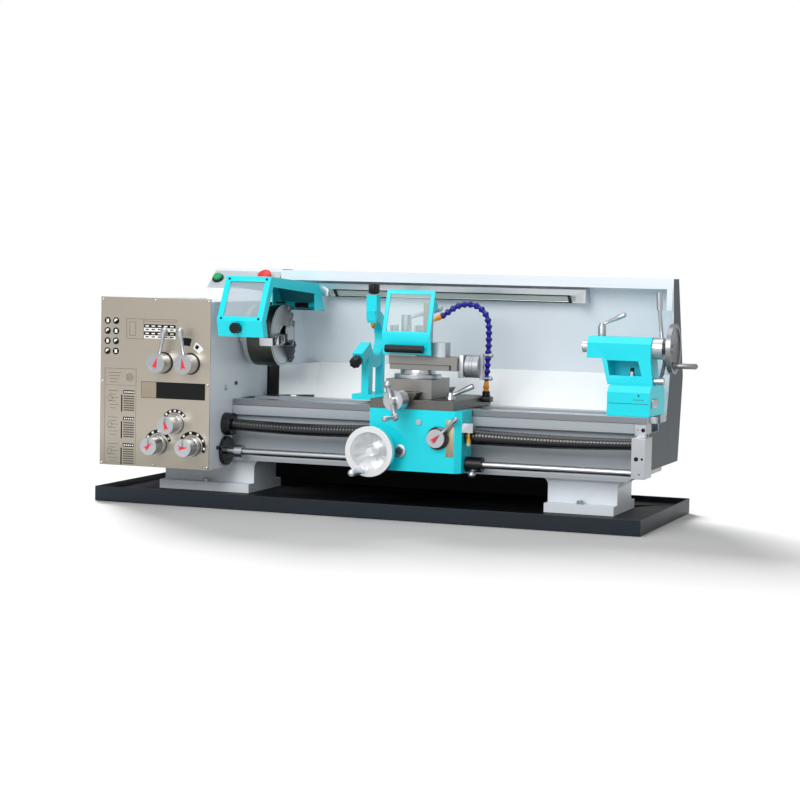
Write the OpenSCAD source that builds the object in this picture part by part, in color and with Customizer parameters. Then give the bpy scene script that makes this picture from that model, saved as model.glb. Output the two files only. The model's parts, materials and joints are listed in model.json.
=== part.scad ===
// Bench lathe on a chip tray, with every slide, lever and crank as a piece of its own.
// X runs along the bed from the headstock to the tailstock, Y runs away from the operator and Z is up.
// The origin is under the middle of the tray, and the spindle lies above the line Y = 0.

/* [Tray and plinths] */
// Length of the chip tray
tray_l = 1450; // [1440:1:1500]
// Depth of the chip tray from front to back
tray_w = 530; // [500:1:620]
// Height of the tray's rim
tray_h = 38; // [34:1:60]
// Height of the tray's floor above its underside
floor_z = 24; // [18:1:28]
// Height of the plinths under the bed
plinth_h = 84; // [70:1:110]
// Length of the headstock plinth
plinth_left_l = 258; // [220:1:280]
// Length of the tailstock plinth
plinth_right_l = 178; // [150:1:200]
// Depth of the plinths' feet
foot_w = 210; // [190:1:240]

/* [Bed] */
// Length of the bed
bed_l = 1333; // [1325:1:1345]
// Width over the ways
bed_w = 190; // [184:1:196]
// Height of the bed
bed_h = 161; // [150:1:180]
// Height of the spindle centre above the ways
centre_h = 165; // [160:1:172]

/* [Headstock] */
// Length of the headstock casting
head_l = 225; // [200:1:230]
// Height of the headstock's top above the spindle centre
head_rise = 88; // [86:1:96]
// Thickness of the left end cover
cover_l = 89; // [80:1:95]
// Height of the front panel
panel_h = 437; // [432:1:445]
// Diameter of the chuck
chuck_d = 160; // [140:1:164]
// Length of the chuck body
chuck_l = 69; // [60:1:75]
// Bore through the spindle
spindle_bore = 38; // [25:1:40]

/* [Carriage] */
// Length of the saddle along the bed
saddle_l = 220; // [214:1:228]
// Height of the saddle above the ways
saddle_h = 24; // [20:1:26]
// Width of the cross slide
cross_w = 122; // [110:1:130]
// Height of the cross slide's top above the saddle
cross_h = 49; // [44:1:52]
// Diameter of the graduated swivel ring
ring_d = 120; // [110:1:122]
// Length of the top slide
top_l = 182; // [176:1:190]
// Side of the square tool post
post_w = 82; // [70:1:84]
// Diameter of the apron handwheel
apron_wheel_d = 126; // [110:1:135]

/* [Tailstock] */
// Length of the tailstock barrel
barrel_l = 162; // [150:1:170]
// Width of the tailstock barrel
barrel_w = 74; // [66:1:76]
// Diameter of the quill
quill_d = 32; // [28:1:36]
// Height of the tailstock barrel
barrel_h = 54; // [50:1:58]
// Diameter of the tailstock handwheel
tail_wheel_d = 125; // [110:1:130]

/* [Splash guard] */
// Height of the splash guard's top above the ways
guard_rise = 336.5; // [330:1:345]
// Depth of the top lip
lip_w = 59; // [50:1:64]
// Thickness of the guard's sheet metal
sheet_t = 2; // [1.5:0.5:3]

/* [Hidden] */

// Clearances, the overrun of every cut, the facets of round shapes and the shares of a turned handle
fit = 0.3;
run = 0.05;
over = 5;
round_n = 64;
waist_share = 0.6;
neck_share = 0.3;
belly_share = 0.7;
nose_share = 0.25;

// Tray
rim_t = 3;
tray_flange = 25;
tray_rail = 60;
bolt_d = 13;
bolt_y = 88;

// Heights and lengths that everything follows
bed_z0 = floor_z + plinth_h;
ways_z = bed_z0 + bed_h;
spindle_z = ways_z + centre_h;
bed_x1 = 693;
bed_x0 = bed_x1 - bed_l;
bed_y0 = -bed_w / 2;
bed_y1 = bed_w / 2;

// Plinths
left_plinth_x = -619;
right_plinth_x = 440;
plinth_mids = [left_plinth_x + plinth_left_l / 2, right_plinth_x + plinth_right_l / 2];
foot_h = 23;
column_w = 142;
plinth_fillet = 20;
fillet_step = 15;

// Bed section
rail_w = 48;
rail_h = 41;
web_t = 14;
web_y = 74;
bed_flange_h = 17;
bed_flange_w = 50;
bed_foot_in = 45;
bed_foot_run = 20;
way_lip = 3;
way_face_h = 16;
rib_pitch = 160;
rib_t = 14;
rib_bite = web_t / 2;

// Headstock and gearbox casings, left end cover
head_x1 = bed_x0 + head_l;
head_y0 = -231.7;
head_y1 = 125;
head_z1 = spindle_z + head_rise;
wall = 12;
box_wall = 10;
box_z0 = 92;
cover_x0 = bed_x0 - cover_l;
cover_y1 = 240;
cover_t = 3;
cover_hole_d = 100;

// Front panel and its controls
panel_t = 3;
panel_y0 = head_y0 - panel_t;
panel_z1 = box_z0 + panel_h;
panel_hole_d = 16;
shaft_d = 14;
shaft_bore_d = shaft_d + 2 * run;
shaft_reach = 22;
upper_knob_d = 50;
upper_knob_l = 45;
lower_knob_d = 46;
lower_knob_l = 55;
knob_base_d = 50;
knob_base_l = 14;
knob_slot_w = 4;
knob_gap = 0.6;
knob_upper_z_drop = 71;
knob_upper_z = spindle_z - knob_upper_z_drop;
knob_left_x_off = 133;
knob_left_x = head_x1 - knob_left_x_off;
knob_right_x_off = 56;
knob_right_x = head_x1 - knob_right_x_off;
feed_top_x_off = 98;
feed_top_x = head_x1 - feed_top_x_off;
feed_top_z_rise = 114;
feed_top_z = box_z0 + feed_top_z_rise;
feed_left_x_off = 145;
feed_left_x = head_x1 - feed_left_x_off;
feed_right_x_off = 48;
feed_right_x = head_x1 - feed_right_x_off;
feed_low_z_rise = 59;
feed_low_z = box_z0 + feed_low_z_rise;
low_knobs = [[feed_top_x, feed_top_z], [feed_left_x, feed_low_z], [feed_right_x, feed_low_z]];
high_knobs = [[knob_left_x, knob_upper_z], [knob_right_x, knob_upper_z]];
lever_d = 9;
lever_grip_d = 17;
lever_grip_l = 40;
lever_reach = 94;
lever_stand = 14;
speed_left_ang = 12;
speed_right_ang = -10;

// Spindle train and motor
bearing_d = 90;
bearing_w = 20;
shaft_od = 60;
nose_d = 118;
nose_l = 15;
plate_d = 156;
plate_l = 14;
chuck_bore = 42;
chuck_x0 = head_x1 + fit + nose_l + plate_l;
chuck_x1 = chuck_x0 + chuck_l;
slot_depth = 30;
jaw_w = 22;
jaw_in = 24;
jaw_out = 86;
jaw_proud = 24;
jaw_step = 8;
jaw_first = 70;
jaw_turn = 120;
pulley_d = 120;
pulley_l = 34;
pulley_x0_off = 30;
pulley_x0 = cover_x0 + pulley_x0_off;
groove_h = 5;
groove_n = 2;
groove_mid_share = 0.5;
motor_y = 185;
motor_z = 200;
motor_d = 130;
motor_l = 170;
motor_shaft_d = 24;
motor_pulley_d = 70;
motor_foot_t = 10;

// Control box on the headstock
cbox_x0_off = 52;
cbox_x0 = bed_x0 + cbox_x0_off;
cbox_x1_off = 199;
cbox_x1 = cbox_x0 + cbox_x1_off;
cbox_y0 = 100;
cbox_y1 = 226;
cbox_z0 = head_z1;
cbox_lip_h = 31;
cbox_run = 57;
cbox_slope_h = 47;
cbox_h = 86;
cbox_t = 2;
button_d = 24;
button_cap_h = 7;
button_rim_d = 31;
button_rim_h = 5;
button_seat = 12;
button_travel = 4;
button_up_share = 0.53;
start_x_off = 20;
start_x = cbox_x0 + start_x_off;
stop_x_off = 37;
stop_x = cbox_x1 - stop_x_off;
mushroom_d = 37;
mushroom_h = 16;

// Chuck guard
cg_x0_off = 28;
cg_x0 = head_x1 + cg_x0_off;
cg_x1_off = 153;
cg_x1 = head_x1 + cg_x1_off;
cg_y_low = -246;
cg_z_low_off = 3;
cg_z_low = spindle_z + cg_z_low_off;
cg_y_crease = -259;
cg_z_crease_off = 44;
cg_z_crease = spindle_z + cg_z_crease_off;
cg_y_top = -204;
cg_z_top_off = 156;
cg_z_top = spindle_z + cg_z_top_off;
cg_y_back = 111;
cg_z_back_off = 137;
cg_z_back = spindle_z + cg_z_back_off;
cg_y_tail = 157;
cg_z_tail_off = 66;
cg_z_tail = spindle_z + cg_z_tail_off;
cg_path = [[cg_y_low, cg_z_low], [cg_y_crease, cg_z_crease], [cg_y_top, cg_z_top],
    [cg_y_back, cg_z_back], [cg_y_tail, cg_z_tail]];
cg_run = norm(cg_path[2] - cg_path[1]);
cg_t = 3;
cg_frame = 26;
cg_hinge_y = 112;
cg_hinge_z_rise = 78.5;
cg_hinge_z = spindle_z + cg_hinge_z_rise;
cg_rod_d = 14;
cg_barrel_d = 20;
cg_barrel_l = 26;
cg_barrel_in = 32;
cg_knob_x_off = 82;
cg_knob_x = head_x1 + cg_knob_x_off;
cg_knob_z_rise = 25.6;
cg_knob_z = spindle_z + cg_knob_z_rise;
cg_knob_d = 27;
cg_knob_l = 22;
cg_glass_t = 2;
cg_win_margin = 15;
cg_win_low = 12;

// Splash guard
guard_z1 = ways_z + guard_rise;
guard_y0 = 141;
guard_y1 = guard_y0 + lip_w;
guard_x0_off = 29;
guard_x0 = head_x1 + guard_x0_off;
guard_low_x0_off = 3;
guard_low_x0 = head_x1 + guard_low_x0_off;
lip_h = 26;
bulge_y = 277;
bulge_z_rise = 85;
bulge_z = ways_z + bulge_z_rise;
low_y = 243;
low_rise = 28;
low_z = bed_z0 + low_rise;
skirt_x0 = -480;
skirt_x1 = 560;
slide_y0 = 105;
slide_z0_drop = 27;
slide_z0 = ways_z - slide_z0_drop;
slide_drop = 12;
back_path = [[guard_y0, guard_z1 - lip_h], [guard_y0, guard_z1], [guard_y1, guard_z1],
    [bulge_y, bulge_z], [low_y, low_z]];
slide_path = [[bulge_y - sheet_t, bulge_z], [slide_y0, slide_z0], [slide_y0, slide_z0 - slide_drop]];
end_low_y = -83;
end_step_z_drop = 41;
end_step_z = ways_z - end_step_z_drop;
end_foot_y = 19;
end_foot_z_drop = 21;
end_foot_z = ways_z - end_foot_z_drop;
end_in_y = 100;
end_mid_y = 128;
end_mid_z_rise = 94;
end_mid_z = ways_z + end_mid_z_rise;
end_up_y = 153;
end_up_z_drop = 95.5;
end_up_z = guard_z1 - end_up_z_drop;
end_flange_w = 15;
end_flange_h = 80;
foot_bracket_w = 40;
foot_bracket_t = 4;
bracket_shares = [0.28, 0.55, 0.88];

// Left end of the splash guard: an upright corner to the headstock, a closing plate and a turned lower end
corner_gap = 2;
corner_y = head_y1 + corner_gap;
corner_fold = 65;
corner_lap = 25;
corner_ang = atan2(bulge_y - corner_y, head_x1 + corner_fold - guard_low_x0);
corner_low = 77;
corner_z0 = ways_z + corner_low;
corner_rise = 231;
corner_z1 = ways_z + corner_rise;
turn_top = 95;
turn_low = 129;
turn_side = 73;
turn_foot = 48;
turn_gap = 3;
turn_top_x = head_x1 + turn_top;
turn_low_x = head_x1 + turn_low;
turn_z = ways_z + turn_gap;

// Depth of the lower sheet at a height
function slide_y(z) = slide_y0 + (z - slide_z0) * (bulge_y - sheet_t - slide_y0) / (bulge_z - slide_z0);

// Inner face of the back sheet at a height
function sheet_y(z) = let(dy = bulge_y - guard_y1, dz = guard_z1 - bulge_z)
    guard_y1 + (guard_z1 - z) / dz * dy - sheet_t * norm([dy, dz]) / dz;

// Work light
light_x0_off = 156;
light_x0 = head_x1 + light_x0_off;
light_x1_off = 689;
light_x1 = light_x0 + light_x1_off;
light_y0 = 170;
light_y1 = 206;
light_z0_drop = 68.5;
light_z0 = guard_z1 - light_z0_drop;
light_z1_rise = 36;
light_z1 = light_z0 + light_z1_rise;
light_end_l = 28;
light_chamfer = 20;
light_recess = 2;
light_frame = 6;

// Rods along the bed and their bearings
rod_y = -139;
leadscrew_z_rise = 114;
leadscrew_z = box_z0 + leadscrew_z_rise;
feed_z_rise = 44;
feed_z = box_z0 + feed_z_rise;
leadscrew_d = 20;
feed_rod_d = 18;
boss_d = 59;
boss_l = 24;
flange_d = 76;
flange_l = 10;
hub_d = 34;
hub_l = 21;
hub_gap = 22;
end_x0_off = 21;
end_x0 = bed_x1 - end_x0_off;
end_l = 35;
end_y0 = -162;
end_z0_drop = 12;
end_z0 = feed_z - end_z0_drop;
end_z1_rise = 17;
end_z1 = leadscrew_z + end_z1_rise;
stop_block_l = 28;
stop_block_y = 10;
stop_block_z1_rise = 27;
stop_block_z1 = end_z1 + stop_block_z1_rise;
bed_stop_l = 16;
bed_stop_w = 20;
bed_stop_y = -70;

// Boots over the leadscrew
boot_bore = 23;
boot_left_d0 = 28;
boot_left_d1 = 31;
boot_right_d0 = 38;
boot_right_d1 = 26;
boot_rib = 1.5;
boot_ribs = 48;

// Saddle and the guide that the cross slide rides on
saddle_x0 = 7;
saddle_y0 = -190;
saddle_y1 = 112;
saddle_z1 = ways_z + saddle_h;
saddle_x1 = saddle_x0 + saddle_l;
dove_w = 72;
dove_in = 10;
dove_h = 18;

// Apron and what is fixed on it
apron_x1_off = 19;
apron_x1 = saddle_x1 + apron_x1_off;
apron_z0_drop = 21;
apron_z0 = feed_z - apron_z0_drop;
apron_y1 = -100;
apron_chamfer = 14;
apron_wall = 12;
glass_x_off = 82;
glass_x = saddle_x0 + glass_x_off;
glass_z_rise = 49.5;
glass_z = apron_z0 + glass_z_rise;
glass_d = 33;
glass_h = 4;
plug_x_off = 131;
plug_x = saddle_x0 + plug_x_off;
plug_z_rise = 124;
plug_z = apron_z0 + plug_z_rise;
plug_d = 14;
valve_l = 28;
valve_w = 18;
valve_z0_rise = 11;
valve_z0 = leadscrew_z + valve_z0_rise;
valve_z1_rise = 23;
valve_z1 = valve_z0 + valve_z1_rise;
valve_x_off = 15;
valve_x = apron_x1 + valve_x_off;
valve_y_off = 23;
valve_y = saddle_y0 + valve_y_off;
valve_stem_d = 7;
valve_stem_l = 24;
valve_knob_d = 13;
valve_knob_l = 9;

// Handwheels
aw_x_off = 20;
aw_x = saddle_x0 + aw_x_off;
aw_z_rise = 49;
aw_z = apron_z0 + aw_z_rise;
aw_gap = 0.6;
aw_rim_y = -247;
aw_rim_t = 16;
aw_rim_w = 15;
aw_dish = 22;
aw_plate_t = 5;
aw_hub_d = 30;
aw_shaft_d = 16;
aw_handle_d = 17;
aw_handle_l = 72;
aw_handle_r = 52;
aw_handle_ang = 249;
aw_pad = 4;

// Feed lever, control lever and saddle lock
fl_x_off = 182;
fl_x = saddle_x0 + fl_x_off;
fl_z_rise = 86.5;
fl_z = apron_z0 + fl_z_rise;
fl_ring_d = 54;
fl_ring_l = 6;
fl_disc_d = 46;
fl_disc_l = 16;
fl_lever_l = 76;
fl_ang = 45;
fl_grip_d = 12;
cl_x0_off = 2;
cl_x0 = apron_x1 + cl_x0_off;
cl_l = 42;
cl_d = 38;
cl_arm_l = 28;
cl_arm_d = 10;
cl_arm_share = 0.45;
cl_drop = 60;
cl_ball_d = 20;
sl_x_off = 183;
sl_x = saddle_x0 + sl_x_off;
sl_y = -105;
sl_pin_d = 10;
sl_pin_l = 15;
sl_hub_d = 26;
sl_hub_h = 16;
sl_arm_l = 66;
sl_arm_d = 14;
sl_tilt = 25;
sl_turn = 5;

// Coolant hose: its socket, and a route of X and Z steps from where the socket stands on the saddle
hose_x_off = 7;
hose_x = saddle_x1 + hose_x_off;
hose_y = 48;
hose_base_d = 20;
hose_base_h = 15;
hose_fit_d = 14;
hose_arm_l = 26;
hose_arm_w = 30;
hose_arm_h = 16;
hose_d = 16;
hose_waist_d = 11.5;
hose_bore = 5;
hose_beads = 34;
hose_sides = 12;
hose_step = 0.1;
hose_route = [[0, 39], [1, 57], [2, 82], [3, 107], [4, 132], [4, 157], [3, 182], [-2, 204], [-14, 221],
    [-31, 232], [-51, 236], [-71, 234], [-89, 227], [-104, 217], [-117, 208], [-128, 202]];
nozzle_d = 14;
nozzle_tip_d = 7;
nozzle_l = 24;

// Follow rest
fr_x_off = 69;
fr_x = saddle_x0 - fr_x_off;
fr_t = 28;
fr_arm = 30;
fr_ring_t = 24;
fr_leg_t = 20;
fr_leg_in = 1;
fr_toe = 23;
fr_foot_z0_rise = 10.5;
fr_foot_z0 = ways_z + fr_foot_z0_rise;
fr_foot_h = 14;
fr_foot_y0 = -66;
fr_foot_y1 = 62;
fr_leg_y0 = -60;
fr_leg_y1 = 56;
fr_front_w = 30;
fr_back_w = 16;
fr_leg_z1_rise = 131;
fr_leg_z1 = ways_z + fr_leg_z1_rise;
fr_tongue_l = 10;
fr_tongue_h = 6;
fr_tongue_gap = 3;
fr_ring_r = 43;
fr_ring_out = 74;
fr_mouth_a0 = 106;
fr_mouth_a1 = 212;
fr_mouth_n = 8;
finger_d = 12;
finger_tip_r = 27;
finger_arm_in = 49;
finger_arm_out = 114;
finger_lift = 2;
finger_knob_d = 30;
finger_knob_l = 28;
finger_out = finger_arm_out + 2 * finger_lift;
finger_ang = 205;

// Cross slide and its crank
cross_x0_off = 26;
cross_x0 = saddle_x0 + cross_x0_off;
cross_y0 = -150;
cross_l = 138;
cross_z1 = saddle_z1 + cross_h;
cc_x = cross_x0 + cross_w / 2;
cc_z_rise = 1.5;
cc_z = saddle_z1 + cc_z_rise;
cc_boss_d = 40;
cc_boss_l = 25;
cc_dial_d = 51;
cc_dial_l = 46;
cc_hub_d = 18;
cc_hub_l = 22;
cc_arm_d = 10;
cc_arm_l = 41;
cc_ball_d = 20;
cc_handle_d = 13;
cc_handle_l = 78;
cc_ang = -15;
cc_screw_d = 14;

// Compound: ring, neck, the lower half of its way, and the top slide
comp_y = -82;
ring_h = 10;
neck_d = 90;
neck_h = 12;
base_w = 62;
base_h = 14;
base_l = 160;
guide_w = 36;
guide_h = 7;
top_x0_off = 5;
top_x0 = cross_x0 - top_x0_off;
top_w = 76;
top_h = 20;
top_z0 = cross_z1 + fit + ring_h + neck_h + base_h;
top_z1 = top_z0 + top_h;
end_plate_l = 16;
kc_z_drop = 1.5;
kc_z = top_z0 - kc_z_drop;
kc_dial_d = 57;
kc_dial_l = 50;
kc_bar_l = 66;
kc_bar_w = 16;
kc_bar_t = 8;
kc_handle_d = 10;
kc_handle_l = 24;
kc_screw_d = 10;
kc_screw_l = 60;

// Tool post, its lever, and the box beside it
post_x_off = 27;
post_x = cross_x0 + post_x_off;
post_h = 42;
post_pin_l = 12;
post_bolt_d = 16;
post_foot_h = 12;
post_slot_h = 18;
post_slot_w = 16;
set_screw_d = 8;
set_screw_h = 34;
screw_pitch_share = 0.5;
pl_stud_d = 16;
pl_stud_h = 40;
pl_hub_d = 26;
pl_hub_h = 60;
pl_arm_share = 0.85;
pl_arm_l = 100;
pl_arm_d = 15;
pl_tilt = 17;
block_x0_off = 109;
block_x0 = top_x0 + block_x0_off;
block_y0 = -115;
block_l = 40;
block_w = 40;
block_h = 36;

// Tool guard
tg_x0_off = 6;
tg_x0 = top_x0 - tg_x0_off;
tg_w = 128;
tg_y_top = -123;
tg_y_crease = -157;
tg_y_low = -149;
tg_z_top_off = 166;
tg_z_top = top_z1 + tg_z_top_off;
tg_z_crease_off = 58;
tg_z_crease = top_z1 + tg_z_crease_off;
tg_z_low_off = 5;
tg_z_low = top_z1 + tg_z_low_off;
tg_path = [[tg_y_low, tg_z_low], [tg_y_crease, tg_z_crease], [tg_y_top, tg_z_top]];
tg_run = norm(tg_path[2] - tg_path[1]);
function tg_y(z) = tg_y_crease + (z - tg_z_crease) * (tg_y_top - tg_y_crease) / (tg_z_top - tg_z_crease);
tg_t = 3;
tg_margin = 10;
tg_return = 6;
tg_pivot_y = -107;
tg_pivot_z_rise = 127;
tg_pivot_z = top_z1 + tg_pivot_z_rise;
tg_pin_d = 8;
tg_ear = 18;
tg_post_x_off = 90;
tg_post_x = top_x0 + tg_post_x_off;
tg_post_y = -118;
tg_post_w = 22;
tg_bar_x_off = 16;
tg_bar_x = tg_x0 + tg_bar_x_off;
tg_bar_l = 100;
tg_bar_z_rise = 15;
tg_bar_z = tg_z_low + tg_bar_z_rise;
tg_bar_d = 20;
tg_bar_out = 14;

// Tailstock
tail_x = 521;
neck_in = 39;
neck_low_out = 11;
neck_low_in = 4;
tail_base_x0_off = 66;
tail_base_x0 = tail_x + tail_base_x0_off;
tail_base_l = 107;
tail_base_y0 = -80;
tail_base_y1 = 80;
tail_base_h = 58;
tail_bevel = 16;
win_x0 = 52;
win_x1 = 131;
win_low_x0 = 59;
win_low_x1 = 141;
win_z0_drop = 68;
win_z0 = spindle_z - win_z0_drop;
win_z1_drop = 31;
win_z1 = spindle_z - win_z1_drop;
win_back_t = 14;
tail_flange_d = 54;
tail_flange_l = 25;
cam_x0 = tail_base_x0 + tail_base_l - neck_low_in + fit;
quill_nose = 19;
quill_l = 150;
quill_bore = 20;
quill_back = 20;
tw_x_off = 210;
tw_x = tail_x + tw_x_off;
tw_rim_t = 12;
tw_rim_w = 10;
tw_dish = 14;
tw_hub_d = 28;
tw_shaft_d = 14;
tw_handle_d = 14;
tw_handle_l = 56;
tw_handle_r = 41;
ql_x_off = 28;
ql_x = tail_x + ql_x_off;
ql_gap = 4;
ql_pin_d = 10;
ql_post_d = 20;
ql_post_h = 33;
ql_arm_l = 66;
ql_arm_d = 13;
ql_tilt = 25;
cam_y = -18;
cam_rise = 85;
cam_z = ways_z + cam_rise;
cam_pin_d = 12;
cam_pin_l = 30;
cam_boss_d = 18;
cam_boss_l = 24;
cam_arm_l = 218;
cam_arm_d = 10;
cam_grip_d = 15;
cam_knee_d = 11.6;
cam_shares = [[0, 0, 0], [0, 0.14, 0.08], [0, 0.24, 0.21], [-0.04, 0.275, 0.395], [-0.085, 0.282, 0.8]];
cam_grip_shares = [-0.096, 0.285, 1];

// Screws
panel_screw_d = 7;
panel_screw_h = 2.5;
panel_screw_in = 6;
screw_d = 10;
screw_h = 4;
screw_socket_d = 5;
cap_high_y = -78;
cap_high_z_rise = 40;
cap_high_z = ways_z + cap_high_z_rise;
cap_low_y = -187;
cap_low_z_rise = 55;
cap_low_z = box_z0 + cap_low_z_rise;
cap_screws = [[cap_high_y, cap_high_z], [cap_low_y, cap_low_z]];

// Solid between two corners
module blk(a, b) {
    translate(a) cube(b - a);
}

// Round bars along each axis
module bar_x(x0, x1, y, z, d) {
    translate([x0, y, z]) rotate([0, 90, 0]) cylinder(d = d, h = x1 - x0, $fn = round_n);
}
module bar_y(y0, y1, x, z, d) {
    translate([x, y0, z]) rotate([-90, 0, 0]) cylinder(d = d, h = y1 - y0, $fn = round_n);
}
module bar_z(z0, z1, x, y, d) {
    translate([x, y, z0]) cylinder(d = d, h = z1 - z0, $fn = round_n);
}

// Outline in Y and Z drawn out along X, and outline in X and Z drawn out along Y
module along_x(x0, x1) {
    translate([x0, 0, 0]) rotate([90, 0, 90]) linear_extrude(x1 - x0) children();
}
module along_y(y0, y1) {
    translate([0, y1, 0]) rotate([90, 0, 0]) linear_extrude(y1 - y0) children();
}

// Profile of radius and reach turned about an axis that starts at a point and runs along X or towards the operator
module turned_x(x0, y, z) {
    translate([x0, y, z]) rotate([0, 90, 0]) rotate_extrude($fn = round_n) children();
}
module turned_front(x, y0, z) {
    translate([x, y0, z]) rotate([90, 0, 0]) rotate_extrude($fn = round_n) children();
}

// Handle with a waist near its root and a rounded end, drawn as radius and reach
module grip_profile(l, d) {
    polygon([[0, 0], [d * waist_share / 2, 0], [d * waist_share / 2, l * neck_share], [d / 2, l * belly_share],
        [d / 2, l - d * nose_share], [d * nose_share, l], [0, l]]);
}

// Straight handle with a chamfered end
module stub_profile(l, d) {
    polygon([[0, 0], [d / 2, 0], [d / 2, l - d * nose_share], [d * nose_share, l], [0, l]]);
}

// Unit direction of a segment, and the direction a quarter turn to its left
function along(p, q) = (q - p) / norm(q - p);
function left(u) = [-u[1], u[0]];

// Bent strip of sheet metal that follows points, with its thickness on the left of the path
function mitre(p, i, t) =
    i == 0 ? left(along(p[0], p[1])) * t :
    i == len(p) - 1 ? left(along(p[i - 1], p[i])) * t :
    let(a = left(along(p[i - 1], p[i])), b = left(along(p[i], p[i + 1]))) (a + b) / (1 + a * b) * t;
function strip(p, t) = concat(p, [for (i = [len(p) - 1 : -1 : 0]) p[i] + mitre(p, i, t)]);

// Quad beside a segment: from s0 to s1 along it and from n0 to n1 to its left
function quad(p, q, s0, s1, n0, n1) = let(u = along(p, q), w = left(u))
    [p + u * s0 + w * n0, p + u * s1 + w * n0, p + u * s1 + w * n1, p + u * s0 + w * n1];

// Tray: folded rim with an inward flange below, raised floor, two bolting rails and one in the middle
module bench_holes(z0, z1) {
    for (x = plinth_mids, s = [-1, 1]) bar_z(z0, z1, x, s * bolt_y, bolt_d);
}
module chip_tray() {
    hl = tray_l / 2;
    hw = tray_w / 2;
    color("#3a444e") difference() {
        blk([-hl, -hw, 0], [hl, hw, tray_h]);
        blk([-hl + rim_t, -hw + rim_t, floor_z], [hl - rim_t, hw - rim_t, tray_h + over]);
        difference() {
            union() {
                blk([-hl + rim_t, -hw + rim_t, rim_t], [hl - rim_t, hw - rim_t, floor_z - rim_t]);
                blk([-hl + tray_flange, -hw + tray_flange, -over], [hl - tray_flange, hw - tray_flange, floor_z - rim_t]);
            }
            for (x = concat([0], plinth_mids)) blk([x - tray_rail / 2, -hw, -over], [x + tray_rail / 2, hw, floor_z]);
        }
        bench_holes(-over, floor_z + over);
    }
}

// Plinth: a flat foot with bolt holes and a narrower column with a fillet under the bed
module plinth(x0, l) {
    x1 = x0 + l;
    arc = [for (a = [0 : fillet_step : 90]) plinth_fillet * [1 - cos(a), sin(a) - 1]];
    color("#c3cad0") difference() {
        union() {
            blk([x0, -foot_w / 2, floor_z], [x1, foot_w / 2, floor_z + foot_h]);
            along_y(-column_w / 2, column_w / 2) polygon(concat([[x0, floor_z], [x1, floor_z]],
                [for (p = arc) [x1 + p[0], bed_z0 + p[1]]],
                [for (i = [len(arc) - 1 : -1 : 0]) [x0 - arc[i][0], bed_z0 + arc[i][1]]]));
        }
        bench_holes(floor_z - over, floor_z + foot_h + over);
    }
}
module left_plinth() {
    plinth(left_plinth_x, plinth_left_l);
}
module right_plinth() {
    plinth(right_plinth_x, plinth_right_l);
}

// Bed: two rails with ground ways, a web under each, cross ribs and foot flanges that stop short of the right end
module bed() {
    rail_z = ways_z - rail_h;
    flange_z = bed_z0 + bed_flange_h;
    web_in = -web_y + web_t;
    foot_x1 = bed_x1 - bed_foot_in;
    color("#c6ccd2") difference() {
        union() {
            for (m = [0, 1]) mirror([0, m, 0]) along_x(bed_x0, bed_x1) polygon([[bed_y0, ways_z],
                [bed_y0, ways_z - way_face_h], [bed_y0 + way_lip, ways_z - way_face_h], [bed_y0 + way_lip, rail_z],
                [-web_y, rail_z], [-web_y, flange_z], [bed_y0, flange_z], [bed_y0, bed_z0],
                [bed_y0 + bed_flange_w, bed_z0], [bed_y0 + bed_flange_w, flange_z],
                [web_in, flange_z], [web_in, rail_z], [bed_y0 + rail_w, rail_z], [bed_y0 + rail_w, ways_z]]);
            for (x = [bed_x0 : rib_pitch : bed_x1 - rib_t])
                blk([x, web_in - rib_bite, bed_z0], [x + rib_t, rib_bite - web_in, rail_z]);
            blk([bed_x1 - rib_t, web_in - rib_bite, bed_z0], [bed_x1, rib_bite - web_in, rail_z]);
        }
        along_y(bed_y0 - over, bed_y1 + over) polygon([[foot_x1, bed_z0 - over], [foot_x1, bed_z0],
            [foot_x1 + bed_foot_run, flange_z], [bed_x1 + over, flange_z], [bed_x1 + over, bed_z0 - over]]);
    }
}

// Headstock casting: an open-bottomed box with bearing bosses and bores for the lever shafts
module headstock_casting() {
    color("#bcc7cf") difference() {
        union() {
            difference() {
                blk([bed_x0, head_y0, ways_z], [head_x1, head_y1, head_z1]);
                blk([bed_x0 + wall, head_y0 + wall, ways_z - over], [head_x1 - wall, head_y1 - wall, head_z1 - wall]);
            }
            bar_x(bed_x0, bed_x0 + bearing_w, 0, spindle_z, bearing_d + 2 * wall);
            bar_x(head_x1 - bearing_w, head_x1, 0, spindle_z, bearing_d + 2 * wall);
        }
        bar_x(bed_x0 - over, head_x1 + over, 0, spindle_z, bearing_d);
        for (x = [knob_left_x, knob_right_x]) bar_y(head_y0 - over, head_y0 + wall + over, x, knob_upper_z, shaft_bore_d);
        bar_x(head_x1 - wall - over, head_x1 + over, cg_hinge_y, cg_hinge_z, cg_rod_d + 2 * run);
    }
}

// Feed gearbox casing below it, open towards the bed
module gearbox_casing() {
    color("#b7c2ca") difference() {
        blk([bed_x0, head_y0, box_z0], [head_x1, bed_y0, ways_z]);
        blk([bed_x0 + box_wall, head_y0 + box_wall, box_z0 + box_wall],
            [head_x1 - box_wall, bed_y0 + over, ways_z - box_wall]);
        for (k = low_knobs) bar_y(head_y0 - over, head_y0 + box_wall + over, k[0], k[1], shaft_bore_d);
        bar_x(head_x1 - box_wall - over, head_x1 + over, rod_y, leadscrew_z, leadscrew_d + 2 * run);
        bar_x(head_x1 - box_wall - over, head_x1 + over, rod_y, feed_z, feed_rod_d + 2 * run);
    }
}

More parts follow.
